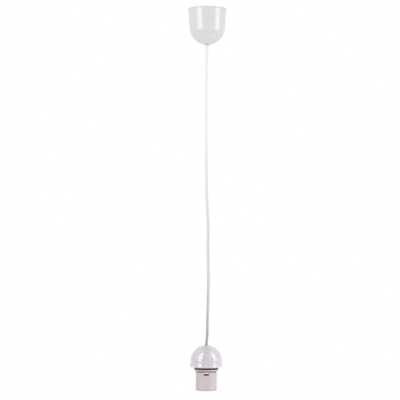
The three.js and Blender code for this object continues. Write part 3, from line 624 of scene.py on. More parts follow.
def screw(node, direction, head_height, shank, pitch):
    """A pan-head screw with a slot, in the place of a CAD node; direction is where its point looks."""
    lowest, highest = (Vector(corner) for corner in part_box(node))
    axis = [abs(part) > 0.5 for part in direction].index(True)
    length = (highest - lowest)[axis]
    head = max((highest - lowest)[i] for i in range(3) if i != axis) / 2
    foot = (lowest + highest) / 2
    foot[axis] = lowest[axis] if direction[axis] > 0 else highest[axis]
    crown = [(head * math.sin(t), head_height * CROWN_RISE * (1 - math.cos(t))) for t in CROWN_TURNS]
    outline = [
        (0, 0),
        *crown,
        (head, head_height * HEAD_SIDE[0]),
        (head, head_height * HEAD_SIDE[1]),
        (head - 0.1 * MM, head_height),
        (shank, head_height),
        *thread_rings(shank, head_height + pitch, length - pitch, pitch),
        (shank * POINT_TAPER[0], length - pitch / 2),
        (shank * POINT_TAPER[1], length),
        (0, length),
    ]
    slot_half = head * SLOT_HALF_WIDTH
    slot = block((-2 * head, -slot_half, -OVERCUT), (2 * head, slot_half, head_height * SLOT_DEPTH))
    bm = carve(spin(outline, FINE_SPIN_STEPS, closed=False), [slot])
    return finish_piece(stand(bm, foot, direction), node)


def hexagon(width, low_z, high_z):
    bm = bmesh.new()
    bmesh.ops.create_cone(
        bm, cap_ends=True, segments=6, radius1=width / math.sqrt(3), radius2=width / math.sqrt(3),
        depth=high_z - low_z, matrix=Matrix.Translation((0, 0, (low_z + high_z) / 2)),
    )
    return bm


NUT_CHAMFER = 0.4 * MM
NUT_ROOF = MM
NUT_STEPS = 64


def nut(node, bore, open_through):
    """A hexagon nut with chamfered corners and a round bore from below."""
    lowest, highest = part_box(node)
    bottom, top = lowest[2], highest[2]
    width = min(highest[0] - lowest[0], highest[1] - lowest[1])
    reach = width / math.sqrt(3)
    bevelled = spin([
        (0, bottom), (width / 2, bottom), (reach, bottom + NUT_CHAMFER),
        (reach, top - NUT_CHAMFER), (width / 2, top), (0, top),
    ], NUT_STEPS, closed=False)
    shaped = carve(hexagon(width, bottom, top), [bevelled], "INTERSECT")
    roof = top + OVERCUT if open_through else top - NUT_ROOF
    return finish_piece(carve(shaped, [bar((0, 0, bottom - OVERCUT), (0, 0, roof), bore)]), node)


RIVET_SHANK = MM
# Share of the head's radius and height above its lowest point.
RIVET_HEAD = [(0.55, 0.06 * MM), (0.9, 0.3 * MM), (1, 0.6 * MM), (1, 0.8 * MM)]


def rivet(node):
    """A stud with a domed head at its lower end."""
    lowest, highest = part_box(node)
    head = (highest[0] - lowest[0]) / 2
    x, y, _ = middle(node)
    length = highest[2] - lowest[2]
    dome = [(head * share, height) for share, height in RIVET_HEAD]
    outline = [(0, 0), *dome, (RIVET_SHANK, RIVET_HEAD[-1][1]), (RIVET_SHANK, length), (0, length)]
    bm = spin(outline, FINE_SPIN_STEPS, closed=False)
    bmesh.ops.translate(bm, verts=bm.verts, vec=(x, y, lowest[2]))
    return finish_piece(bm, node)


# ---- cord ----

CORD_DIAMETER = 5 * MM
CORD_CLEARANCE = 0.2 * MM
CORD_TOP = high("cord")[2]
CORD_BOTTOM = low("cord")[2]
# Straight down out of the cup, then the slight set that a packed cord keeps; in millimetres.
CORD_SET = [
    (0, 0, -52),
    (0, 0, -71),
    (-0.5, 0.2, -95),
    (-0.9, 0.4, -130),
    (-1.1, 0.6, -172),
    (-1.3, 0.7, -217),
    (-0.9, 0.5, -262),
    (-0.4, 0.2, -307),
    (0.1, -0.2, -350),
    (1.1, -0.5, -378),
    (2.2, -0.8, -402),
    (2.4, -0.9, -450),
    (3.1, -0.8, -486),
    (3.6, -0.5, -514),
    (3.3, -0.2, -534),
    (3.0, 0.1, -555),
    (2.4, 0.3, -578),
    (2.1, 0.3, -598),
    (1.7, 0.2, -613),
    (0.8, 0, -622),
    (0.1, 0, -631),
    (0, 0, -645),
]
CORD_ROUTE = [(0, 0, CORD_TOP), *[(x * MM, y * MM, z * MM) for x, y, z in CORD_SET], (0, 0, CORD_BOTTOM)]


def build_cord():
    piece = tube("cord", CORD_ROUTE, CORD_DIAMETER, spans=14, sides=8)


# ---- ceiling fixing ----

PLATE_SLOT_SPACING = 38 * MM
PLATE_SLOT_LENGTH = 8 * MM
PLATE_SLOT_WIDTH = 4.4 * MM
PLATE_EDGE = 0.2 * MM
PLATE_END_STEPS = 64


def ceiling_plate():
    lowest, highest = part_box("ceiling_plate")
    half_width = highest[1]
    run = highest[0] - half_width
    bottom, top = lowest[2], highest[2]
    body = block((-run, -half_width, bottom), (run, half_width, top))
    ends = []
    tools = []
    for side in (-1, 1):
        x = side * run
        ends.append(bar((x, 0, bottom), (x, 0, top), 2 * half_width, PLATE_END_STEPS))
        middle_x = side * PLATE_SLOT_SPACING / 2
        half = (PLATE_SLOT_LENGTH - PLATE_SLOT_WIDTH) / 2
        tools.append(block(
            (middle_x - half, -PLATE_SLOT_WIDTH / 2, bottom - OVERCUT),
            (middle_x + half, PLATE_SLOT_WIDTH / 2, top + OVERCUT),
        ))
        for end in (-half, half):
            x = middle_x + end
            tools.append(bar((x, 0, bottom - OVERCUT), (x, 0, top + OVERCUT), PLATE_SLOT_WIDTH))
    plate = carve(carve(body, ends, "UNION"), tools)
    finish_piece(soften(plate, PLATE_EDGE), "ceiling_plate")


HOOK_WIRE = 3 * MM
HOOK_BEND = 5 * MM
HOOK_TURNS = (40, 10, -20, -50, -90, -130, -165, -195)  # places round the open ring, in degrees
HOOK_NUT_BORE = 3.8 * MM
HOOK_LEAN = 0.3 * MM  # of the shank, where the ring leaves it
HOOK_NECK = 1.5 * MM  # from the ring's top to there


def ceiling_hook():
    """The shank hangs on the axis and the open ring below it carries the bail."""
    ring_middle = low("ceiling_hook")[2] + HOOK_WIRE / 2 + HOOK_BEND
    turns = [math.radians(turn) for turn in HOOK_TURNS]
    ring = [(HOOK_BEND * math.cos(t), 0, ring_middle + HOOK_BEND * math.sin(t)) for t in turns]
    shank = [
        (0, 0, high("ceiling_hook")[2]),
        (0, 0, low("hook_nut")[2] - 0.2 * MM),
        (HOOK_LEAN, 0, ring_middle + HOOK_BEND + HOOK_NECK),
    ]
    tube("ceiling_hook", shank + ring, HOOK_WIRE, sides=8)


def build_ceiling_fixing():
    ceiling_plate()
    for side in ("left", "right"):
        screw("plate_screw_" + side, UP, *PLATE_SCREW)
    nut("hook_nut", HOOK_NUT_BORE, open_through=False)
    ceiling_hook()


# ---- bail, cord clamp and terminal block ----

BAIL_WIRE = 2.4 * MM
PIN_DEPTH = 3.3 * MM
PIN_HOLE = 3 * MM


def suspension_bail():
    """A hoop of round wire whose two turned-in ends are the clamp's pins."""
    top = high("suspension_bail")[2] - BAIL_WIRE / 2
    pin = low("suspension_bail")[2] + BAIL_WIRE / 2
    half = high("suspension_bail")[1] - BAIL_WIRE / 2
    clamp_half = high("cord_clamp")[1]
    pin_end = clamp_half - PIN_DEPTH + GAP
    leg = [
        (half * 0.45, top - 0.8 * MM),
        (half * 0.84, top - 4 * MM),
        (half, top - 9 * MM),
        (half, pin + 5 * MM),
        (half, pin + 1.5 * MM),
        (half - 0.6 * MM, pin + 0.2 * MM),
        (half - 1.6 * MM, pin),
        (pin_end, pin),
    ]
    far = [(0, -y, z) for y, z in reversed(leg)]
    near = [(0, y, z) for y, z in leg]
    tube("suspension_bail", far + [(0, 0, top)] + near, BAIL_WIRE, sides=8)


CLAMP_EDGE = 0.6 * MM
JAW_HEIGHT = 7 * MM
JAW_GAP = 0.6 * MM
JAW_EDGE = 0.4 * MM
JAW_SCREW_HOLE = 3.6 * MM
JAW_SCREW_REACH = 6 * MM
POST_HEIGHT = 2.4 * MM
POST_DIAMETER = 5 * MM
POST_SIDE = 5.2 * MM
FIXING_HOLE = 2.8 * MM
FIXING_DEPTH = 2.6 * MM
BORE_STEPS = 48


def cord_bore(bottom, top):
    width = CORD_DIAMETER + 2 * CORD_CLEARANCE
    return bar((0, 0, bottom - OVERCUT), (0, 0, top + OVERCUT), width, BORE_STEPS)


def jaw_screw_height():
    return low("cord_clamp")[2] + JAW_HEIGHT / 2


def cord_clamp():
    lowest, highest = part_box("cord_clamp")
    bottom, top = lowest[2], highest[2] - POST_HEIGHT
    half_x, half_y = highest[0], highest[1]
    body = soften(block((-half_x, -half_y, bottom), (half_x, half_y, top)), CLAMP_EDGE, 3)
    post = bar((-POST_SIDE, 0, top - OVERCUT), (-POST_SIDE, 0, highest[2]), POST_DIAMETER)
    room = block(
        (-half_x - OVERCUT, -half_y - OVERCUT, bottom - OVERCUT),
        (JAW_GAP / 2, half_y + OVERCUT, bottom + JAW_HEIGHT + GAP),
    )
    fixing_foot = (-POST_SIDE, 0, highest[2] - FIXING_DEPTH)
    fixing = bar(fixing_foot, (-POST_SIDE, 0, highest[2] + OVERCUT), FIXING_HOLE)
    tools = [cord_bore(bottom, top), room, fixing]
    pin = low("suspension_bail")[2] + BAIL_WIRE / 2
    screw_y = middle("clamp_screw_back")[1]
    height = jaw_screw_height()
    for side in (-1, 1):
        y = side * screw_y
        pin_foot = (0, side * (half_y - PIN_DEPTH), pin)
        tools.append(bar(pin_foot, (0, side * (half_y + OVERCUT), pin), PIN_HOLE))
        tools.append(bar((-OVERCUT, y, height), (JAW_SCREW_REACH, y, height), JAW_SCREW_HOLE))
    finish_piece(carve(carve(body, [post], "UNION"), tools), "cord_clamp")


def clamp_jaw():
    lowest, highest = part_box("clamp_jaw")
    screw_y = middle("clamp_screw_back")[1]
    height = jaw_screw_height()
    tools = [cord_bore(lowest[2], highest[2])]
    for side in (-1, 1):
        y = side * screw_y
        tools.append(bar((lowest[0] - OVERCUT, y, height), (highest[0] + OVERCUT, y, height), JAW_SCREW_HOLE))
    finish_piece(carve(soften(block(lowest, highest), JAW_EDGE, 3), tools), "clamp_jaw")


HOUSING_EDGE = 0.5 * MM
BARREL_EDGE = 0.3 * MM
BARREL_HOLE = 5.6 * MM
BARREL_BORE = 3 * MM
SCREW_WELL = 4.2 * MM
TERMINAL_TAP = 3.2 * MM
WAIST_WIDTH = 3 * MM
WAIST_DEPTH = 2 * MM
WAIST_HEIGHT = 4 * MM
POLES = ("live", "neutral")
ENDS = ("house", "lamp")


def terminal_housing():
    lowest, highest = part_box("terminal_housing")
    body = soften(block(lowest, highest), HOUSING_EDGE, 3)
    tools = []
    for pole in POLES:
        _, y, z = middle("terminal_barrel_" + pole)
        tools.append(bar((lowest[0] - OVERCUT, y, z), (highest[0] + OVERCUT, y, z), BARREL_HOLE))
        for end in ENDS:
            x = middle(f"terminal_screw_{pole}_{end}")[0]
            tools.append(bar((x, y, z), (x, y, highest[2] + OVERCUT), SCREW_WELL))
    fixing_top = (-POST_SIDE, 0, highest[2] + OVERCUT)
    tools.append(bar((-POST_SIDE, 0, lowest[2] - OVERCUT), fixing_top, FIXING_HOLE))
    front = (lowest[1] - OVERCUT, lowest[1] + WAIST_DEPTH)
    back = (highest[1] - WAIST_DEPTH, highest[1] + OVERCUT)
    for near, far in (front, back):
        foot = (-WAIST_WIDTH / 2, near, highest[2] - WAIST_HEIGHT)
        tools.append(block(foot, (WAIST_WIDTH / 2, far, highest[2] + OVERCUT)))
    finish_piece(carve(body, tools), "terminal_housing")


def terminal_barrel(pole):
    node = "terminal_barrel_" + pole
    lowest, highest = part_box(node)
    _, y, z = middle(node)
    solid = bar((lowest[0], y, z), (highest[0], y, z), highest[1] - lowest[1], BORE_STEPS)
    body = soften(solid, BARREL_EDGE, over=60)
    tools = [bar((lowest[0] - OVERCUT, y, z), (highest[0] + OVERCUT, y, z), BARREL_BORE, BORE_STEPS)]
    for end in ENDS:
        x = middle(f"terminal_screw_{pole}_{end}")[0]
        tools.append(bar((x, y, z), (x, y, highest[2] + OVERCUT), TERMINAL_TAP))
    finish_piece(carve(body, tools), node)


CORE_DIAMETER = 1.8 * MM
CORE_PITCH = 2.2 * MM


def top_core(pole, side):
    """A core leaves the end of the sheath, rounds the block's side and enters its barrel."""
    node = "top_core_" + pole
    near = side * CORE_PITCH / 2
    _, far, barrel = middle("terminal_barrel_" + pole)
    edge = high("terminal_housing")[0]
    under = (high("cord_clamp")[2] - POST_HEIGHT + low("terminal_housing")[2]) / 2
    start = CORD_TOP + GAP
    tube(node, [
        (0, near, start),
        (0, near, start + GAP),
        (0.6 * MM, near, under - 0.4 * MM),
        (2.2 * MM, near, under),
        (edge - MM, (near + far) / 2, under),
        (edge + 2.2 * MM, far, under + MM),
        (edge + 3 * MM, far, (under + barrel) / 2),
        (edge + 1.8 * MM, far, barrel - 0.3 * MM),
        (edge, far, barrel),
        (edge - 4.8 * MM, far, barrel),
    ], CORE_DIAMETER)


def build_hanger():
    suspension_bail()
    cord_clamp()
    clamp_jaw()
    for side in ("front", "back"):
        screw("clamp_screw_" + side, RIGHT, *CLAMP_SCREW)
    terminal_housing()
    for pole, side in (("live", -1), ("neutral", 1)):
        terminal_barrel(pole)
        for end in ENDS:
            screw(f"terminal_screw_{pole}_{end}", DOWN, *TERMINAL_SCREW)
        top_core(pole, side)
    screw("terminal_fixing_screw", DOWN, *FIXING_SCREW)


# ---- ceiling cup ----

CUP_WALL = 2 * MM
CUP_LIP_HEIGHT = 1.2 * MM
CUP_LIP_PROUD = 1.4 * MM
CUP_LIP_SLOPE = 0.5 * MM
CUP_TAPER = 1.9 * MM
CUP_WALL_HEIGHT = 33 * MM
CUP_HOLE = 4 * MM
BOWL_DEPTH = 33.7 * MM  # of the full curve, which the flat bottom cuts off


def canopy_cup():
    """A deep cup with a rolled lip; its bowl-shaped bottom is cut flat round the bush."""
    rim, pole = high("canopy_cup")[2], low("canopy_cup")[2]
    lip = radius("canopy_cup")
    mouth = lip - CUP_LIP_PROUD
    waist = mouth - CUP_TAPER
    waist_height = rim - CUP_WALL_HEIGHT
    flat = waist_height - pole
    last = math.degrees(math.asin(flat / BOWL_DEPTH))
    last_inside = math.degrees(math.asin((flat - CUP_WALL) / (BOWL_DEPTH - CUP_WALL)))
    outer = arc(waist_height, waist, -BOWL_DEPTH, 0, last, 30)
    inner = arc(waist_height, waist - CUP_WALL, CUP_WALL - BOWL_DEPTH, last_inside, 0, 26)
    spun_piece("canopy_cup", [
        (lip, rim, 0.5 * MM),
        (lip, rim - CUP_LIP_HEIGHT, 0.4 * MM),
        (mouth, rim - CUP_LIP_HEIGHT - CUP_LIP_SLOPE, 0.4 * MM),
        *outer,
        (CUP_HOLE, pole, 0.3 * MM),
        (CUP_HOLE, pole + CUP_WALL, 0.3 * MM),
        *inner,
        (mouth - CUP_WALL, rim, 0.5 * MM),
    ])


GROMMET_WALL = 1.2 * MM
GROMMET_FLANGE = 0.9 * MM
GROMMET_COLLAR = 0.4 * MM
GROMMET_UNDER = 2 * MM
GROMMET_OVER = 2.2 * MM


def canopy_grommet():
    """A bush that holds the cup's bottom between its flange and its upper collar."""
    top, bottom = high("canopy_grommet")[2], low("canopy_grommet")[2]
    bore = CORD_DIAMETER / 2 + CORD_CLEARANCE
    neck = CORD_DIAMETER / 2 + GROMMET_WALL
    flange = neck + GROMMET_FLANGE
    under = bottom + GROMMET_UNDER
    over = top - GROMMET_OVER
    spun_piece("canopy_grommet", [
        (bore, bottom, 0.3 * MM),
        (flange, bottom, 0.7 * MM),
        (flange, under, 0.3 * MM),
        (neck, under),
        (neck, over),
        (flange + GROMMET_COLLAR, over, 0.3 * MM),
        (neck - 0.2 * MM, top, 0.4 * MM),
        (bore, top, 0.2 * MM),
    ], BORE_STEPS)


# ---- lampholder ----

DOME_WALL = 1.6 * MM
DOME_RADIUS = 29.3 * MM
DOME_HOLE = 5 * MM
DOME_FLARE = 0.8 * MM
DOME_LIP_HEIGHT = 1.3 * MM
DOME_LIP_SLOPE = 0.3 * MM
DOME_STEPS = 128


def dome_cover():
    """Half a ball of even wall that flares a little to a proud lip at its rim."""
    rim = low("dome_cover")[2]
    lip = radius("dome_cover")
    edge = DOME_RADIUS + DOME_FLARE
    waist = high("dome_cover")[2] - math.sqrt(DOME_RADIUS ** 2 - DOME_HOLE ** 2)
    inside = DOME_RADIUS - DOME_WALL
    first = math.degrees(math.acos(DOME_HOLE / DOME_RADIUS))
    last = math.degrees(math.acos(DOME_HOLE / inside))
    lip_top = rim + DOME_LIP_HEIGHT
    spun_piece("dome_cover", [
        *arc(waist, DOME_RADIUS, DOME_RADIUS, first, 0, 36),
        (edge, lip_top + DOME_LIP_SLOPE, 0.3 * MM),
        (lip, lip_top, 0.2 * MM),
        (lip, rim, 0.5 * MM),
        (edge - DOME_WALL, rim, 0.4 * MM),
        *arc(waist, inside, inside, 0, last, 30),
    ], DOME_STEPS)


GRIP_THREAD = 4.6 * MM
GRIP_PITCH = 0.8 * MM
GRIP_COLLAR_PROUD = 1.2 * MM
GRIP_COLLAR_HEIGHT = 1.5 * MM
GRIP_SLOPE = MM
GRIP_TAP = 3.6 * MM
GRIP_STEPS = 64


def cord_grip():
    """The threaded neck on the cap, with a collar below and a side screw that holds the cord."""
    top, bottom = high("cord_grip")[2], low("cord_grip")[2]
    collar = radius("cord_grip")
    body = collar - GRIP_COLLAR_PROUD
    bore = CORD_DIAMETER / 2 + CORD_CLEARANCE
    seat = high("holder_cap")[2] + GAP
    collar_top = seat + GRIP_COLLAR_HEIGHT
    outline = rounded([
        (bore, bottom, 0.2 * MM),
        (GRIP_THREAD, bottom, 0.4 * MM),
        *thread_rings(GRIP_THREAD, bottom + 0.6 * MM, seat - 0.4 * MM, GRIP_PITCH),
        (GRIP_THREAD, seat),
        (collar, seat, 0.3 * MM),
        (collar, collar_top, 0.4 * MM),
        (body, collar_top + GRIP_SLOPE, 0.4 * MM),
        (body, top, 0.9 * MM),
        (bore, top, 0.5 * MM),
    ])
    height = middle("grip_screw")[2]
    tap = bar((0, -collar - OVERCUT, height), (0, -bore + GAP, height), GRIP_TAP)
    finish_piece(carve(spin(outline, GRIP_STEPS), [tap]), "cord_grip")


GRUB_CHAMFER = 0.2 * MM
GRUB_PITCH = 0.6 * MM
GRUB_RUN = 0.4 * MM  # plain stretch at each end of the thread
GRUB_SLOT_HALF = 0.3 * MM
GRUB_SLOT_DEPTH = 0.8 * MM


def grip_screw():
    """A headless screw with a slot in its outer end."""
    lowest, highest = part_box("grip_screw")
    x, _, z = middle("grip_screw")
    half = (highest[2] - lowest[2]) / 2
    length = highest[1] - lowest[1]
    outline = [
        (0, 0),
        (half - GRUB_CHAMFER, 0),
        (half, GRUB_CHAMFER),
        *thread_rings(half, GRUB_RUN, length - GRUB_RUN, GRUB_PITCH),
        (half - GRUB_CHAMFER, length),
        (0, length),
    ]
    slot = block((-2 * half, -GRUB_SLOT_HALF, -OVERCUT), (2 * half, GRUB_SLOT_HALF, GRUB_SLOT_DEPTH))
    bm = carve(spin(outline, FINE_SPIN_STEPS, closed=False), [slot])
    finish_piece(stand(bm, (x, lowest[1], z), (0, 1, 0)), "grip_screw")


CAP_LIP_PROUD = 0.7 * MM
CAP_LIP_INSET = 1.5 * MM
CAP_LIP_INSET_HEIGHT = MM
CAP_WALL = 2.4 * MM
CAP_PLATE = 2.8 * MM
CAP_BOSS = 5.2 * MM
CAP_GROOVE = 0.8 * MM
INSERT_SCREW_HOLE = 3.2 * MM
GASKET_THICKNESS = 0.95 * MM


def holder_cap():
    """The upper shell: a ring groove for the gasket above its lip, and two screw bosses under its plate."""
    top, bottom = high("holder_cap")[2], low("holder_cap")[2]
    seat_top = high("gasket_ring")[2] + GAP
    seat_bottom = low("gasket_ring")[2] - GAP
    lip = radius("holder_cap")
    wall = lip - CAP_LIP_PROUD
    bore = wall - CAP_WALL
    plate = top - CAP_PLATE
    hole = GRIP_THREAD + GAP
    shell = spin(rounded([
        (hole, top, 0.3 * MM),
        (wall, top, 1.8 * MM),
        (wall, seat_top, 0.2 * MM),
        (wall - CAP_GROOVE, seat_top),
        (wall - CAP_GROOVE, seat_bottom),
        (lip, seat_bottom, 0.3 * MM),
        (lip, bottom + CAP_LIP_INSET_HEIGHT, 0.5 * MM),
        (lip - CAP_LIP_INSET, bottom, 0.3 * MM),
        (bore, bottom, 0.2 * MM),
        (bore, plate, 0.6 * MM),
        (hole, plate),
    ]))
    foot = high("contact_insert")[2] + GAP
    for side in ("front", "back"):
        y = middle("insert_screw_" + side)[1]
        boss = bar((0, y, foot), (0, y, plate + OVERCUT), CAP_BOSS)
        tap = bar((0, y, foot - OVERCUT), (0, y, plate - MM), INSERT_SCREW_HOLE)
        shell = carve(shell, [carve(boss, [tap])], "UNION")
    finish_piece(shell, "holder_cap")


def gasket_ring():
    top, bottom = high("gasket_ring")[2], low("gasket_ring")[2]
    outer = radius("gasket_ring")
    bore = outer - GASKET_THICKNESS
    spun_piece("gasket_ring", [
        (bore, bottom), (outer, bottom, 0.3 * MM), (outer, top, 0.3 * MM), (bore, top),
    ])


CONTACTS = ("side", "centre")
RIVET_HOLE = 2.6 * MM


def contact_insert():
    lowest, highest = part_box("contact_insert")
    bottom, top = lowest[2], highest[2]
    disc = spin(rounded([
        (0, bottom), (highest[0], bottom, 0.4 * MM), (highest[0], top, 0.4 * MM), (0, top),
    ]), closed=False)
    tools = []
    for side in ("front", "back"):
        y = middle("insert_screw_" + side)[1]
        tools.append(bar((0, y, bottom - OVERCUT), (0, y, top + OVERCUT), INSERT_SCREW_HOLE))
    for pole in CONTACTS:
        x = middle("contact_rivet_" + pole)[0]
        tools.append(bar((x, 0, bottom - OVERCUT), (x, 0, top + OVERCUT), RIVET_HOLE))
    finish_piece(carve(disc, tools), "contact_insert")


HOLDER_TERMINAL_EDGE = 0.3 * MM
HOLDER_TERMINAL_BORE = 2.8 * MM
HOLDER_TERMINAL_END = 1.6 * MM  # left solid behind the bore


def holder_terminal(pole):
    """A brass block with a bore for the core, a tap for its screw and a hole for the rivet."""
    node = "holder_terminal_" + pole
    lowest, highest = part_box(node)
    side = 1 if pole == "centre" else -1
    inner = min(abs(lowest[0]), abs(highest[0]))
    outer = max(abs(lowest[0]), abs(highest[0]))
    height = (lowest[2] + highest[2]) / 2
    screw_x = middle("holder_terminal_screw_" + pole)[0]
    rivet_x = middle("contact_rivet_" + pole)[0]
    start = side * (inner - OVERCUT)
    end = side * (outer - HOLDER_TERMINAL_END)
    tools = [
        bar((start, 0, height), (end, 0, height), HOLDER_TERMINAL_BORE),
        bar((screw_x, 0, height), (screw_x, 0, highest[2] + OVERCUT), HOLDER_TERMINAL_BORE),
        bar((rivet_x, 0, lowest[2] - OVERCUT), (rivet_x, 0, lowest[2] + MM), RIVET_HOLE),
    ]
    finish_piece(carve(soften(block(lowest, highest), HOLDER_TERMINAL_EDGE), tools), node)


def bottom_core(pole, side):
    """A core leaves the sheath inside the cap and bends outwards into its terminal."""
    height = middle("holder_terminal_centre")[2]
    start = CORD_BOTTOM - GAP
    side_step = CORE_PITCH / 2
    face = low("holder_terminal_centre")[0]
    points = [
        (side_step, start),
        (side_step, start - GAP),
        (side_step + MM, height + 0.7 * MM),
        (side_step + 2.7 * MM, height),
        (face, height),
        (face + 1.3 * MM, height),
    ]
    tube("bottom_core_" + pole, [(side * x, 0, z) for x, z in points], CORE_DIAMETER)


STRIP_WIDTH = 5 * MM
STRIP_THICKNESS = 0.5 * MM
STRIP_BEND = 1.2 * MM
STRIP_END = 2.4 * MM  # from the rivet to the strip's end
CONTACT_DROP = 11.4 * MM


def rounded_path(path):
    """Rounds the bends of an open path; its ends stay as they are."""
    inside = [(x, z, STRIP_BEND) for x, z in path[1:-1]]
    return rounded([path[0], *inside, path[-1]])


def ribbon(node, path, rivet_x):
    """A bent brass strip that follows a path of (x, z) and has a hole for its rivet."""
    bm = bmesh.new()
    half = STRIP_WIDTH / 2
    verts = [bm.verts.new((x, -half, z)) for x, z in rounded_path(path)]
    edges = [bm.edges.new(pair) for pair in zip(verts, verts[1:])]
    made = bmesh.ops.extrude_edge_only(bm, edges=edges)["geom"]
    moved = [v for v in made if isinstance(v, bmesh.types.BMVert)]
    bmesh.ops.translate(bm, verts=moved, vec=(0, STRIP_WIDTH, 0))
    bmesh.ops.recalc_face_normals(bm, faces=bm.faces)
    bmesh.ops.solidify(bm, geom=bm.faces[:], thickness=STRIP_THICKNESS)
    flat = path[0][1]
    hole = bar((rivet_x, 0, flat - 2 * OVERCUT), (rivet_x, 0, flat + 2 * OVERCUT), RIVET_HOLE)
    finish_piece(carve(bm, [hole]), node)


def build_contacts():
    """The centre contact springs down to the axis, and the side contact bends down to the shell's wall."""
    flat = low("contact_insert")[2] - GAP - STRIP_THICKNESS / 2
    tip = low("contact_insert")[2] - CONTACT_DROP
    rivet_x = middle("contact_rivet_centre")[0]
    ribbon("centre_contact", [
        (rivet_x + STRIP_END, flat),
        (rivet_x - 2.6 * MM, flat),
        (rivet_x - 4.4 * MM, flat - MM),
        (3.2 * MM, tip + 1.3 * MM),
        (1.4 * MM, tip + 0.2 * MM),
        (-0.6 * MM, tip),
        (-2.4 * MM, tip + 0.9 * MM),
    ], rivet_x)
    wall = low("side_contact")[0] + STRIP_THICKNESS / 2
    ribbon("side_contact", [
        (STRIP_END - rivet_x, flat),
        (wall + STRIP_BEND, flat),
        (wall, flat - STRIP_BEND),
        (wall, low("side_contact")[2]),
    ], -rivet_x)


SKIRT_WALL = 1.85 * MM
SKIRT_NECK_WALL = 1.6 * MM
SKIRT_THREAD_START = 11.6 * MM
SKIRT_THREAD_PITCH = 2.5 * MM
SKIRT_THREAD_TURNS = 8
SKIRT_THREAD_DEPTH = 0.35 * MM
SKIRT_BAND = 2 * MM  # plain band at the bottom edge
LEDGE = 1.5 * MM
LEDGE_UNDER = 1.1 * MM  # below the shell's foot
LEDGE_OVER = 0.9 * MM
LATCH_NOSE_HEIGHT = 2.5 * MM
LATCH_EDGE = 0.2 * MM
WINDOW_WIDTH = 9.3 * MM
WINDOW_HEIGHT = 5.8 * MM
WINDOW_RISE = 0.6 * MM


def skirt_top():
    """The shoulder of the wide part; the latch windows reach a little above it."""
    return low("latch_front")[2] + LATCH_NOSE_HEIGHT + GAP - WINDOW_RISE


def helix(section, turns, pitch):
    """Sweeps a closed section of (radius, z) up a right-handed helix and closes its ends."""
    bm = spin(section, SPIN_STEPS * turns, angle=2 * math.pi * turns, rise=pitch / SPIN_STEPS)
    bmesh.ops.holes_fill(bm, edges=[e for e in bm.edges if e.is_boundary])
    bmesh.ops.recalc_face_normals(bm, faces=bm.faces)
    return bm


def skirt_body():
    """The turned shape of the skirt: a neck round the insert, a wide barrel and a ledge for the shell."""
    bottom, neck_top = low("holder_skirt")[2], high("holder_skirt")[2]
    top = skirt_top()
    outer = radius("holder_skirt")
    bore = outer - SKIRT_WALL
    neck = radius("contact_insert")
    ledge = low("screw_shell")[2]
    root = outer - SKIRT_THREAD_DEPTH
    band = bottom + SKIRT_BAND
    return spin(rounded([
        (neck - SKIRT_NECK_WALL, neck_top, 0.2 * MM),
        (neck, neck_top, 0.3 * MM),
        (neck, top),
        (outer, top, 0.6 * MM),
        (outer, top - SKIRT_THREAD_START + 1.5 * MM),
        (root, top - SKIRT_THREAD_START + 0.8 * MM),
        (root, band + 0.6 * MM),
        (outer, band),
        (outer, bottom, 1.1 * MM),
        (bore, bottom, 0.4 * MM),
        (bore, ledge - LEDGE_UNDER),
        (bore - LEDGE, ledge - LEDGE_UNDER, 0.3 * MM),
        (bore - LEDGE, ledge + LEDGE_OVER, 0.3 * MM),
        (bore, ledge + LEDGE_OVER),
        (bore, top - MM),
        (neck - SKIRT_NECK_WALL, top),
    ]))


def skirt_thread():
    """The rounded ridge that a shade's ring screws onto."""
    outer = radius("holder_skirt")
    root = outer - SKIRT_THREAD_DEPTH - 0.2 * MM
    foot = skirt_top() - SKIRT_THREAD_START - SKIRT_THREAD_TURNS * SKIRT_THREAD_PITCH
    return helix([
        (root, foot - 0.9 * MM),
        (outer - 0.1 * MM, foot - 0.4 * MM),
        (outer, foot),
        (outer - 0.1 * MM, foot + 0.4 * MM),
        (root, foot + 0.9 * MM),
    ], SKIRT_THREAD_TURNS, SKIRT_THREAD_PITCH)


def holder_skirt():
    reach = radius("holder_skirt") + OVERCUT
    sill = skirt_top() + WINDOW_RISE
    windows = block((-WINDOW_WIDTH / 2, -reach, sill - WINDOW_HEIGHT), (WINDOW_WIDTH / 2, reach, sill))
    bm = carve(skirt_body(), [windows])
    join(bm, skirt_thread())
    to_piece(bm, "holder_skirt")


SHELL_MINOR = 12.15 * MM
SHELL_DEPTH = 1.1 * MM
SHELL_PITCH = 3.629 * MM
SHELL_TURNS = 5
SHELL_WALL = 0.45 * MM
SHELL_WAVE_STEPS = 10
SHELL_NECK = 1.6 * MM
SHELL_COLLAR = 2.4 * MM
SHELL_COLLAR_INSET = 0.06 * MM  # how far the collars stand outside the wave's inner side


def shell_wave(foot):
    """One pitch of the rolled wave, as outline points from its foot upwards."""
    middle_radius = SHELL_MINOR + (SHELL_DEPTH + SHELL_WALL) / 2
    points = []
    for i in range(SHELL_WAVE_STEPS + 1):
        share = i / SHELL_WAVE_STEPS
        swing = SHELL_DEPTH / 2 * math.cos(2 * math.pi * share)
        points.append((middle_radius - swing, foot + share * SHELL_PITCH))
    return points


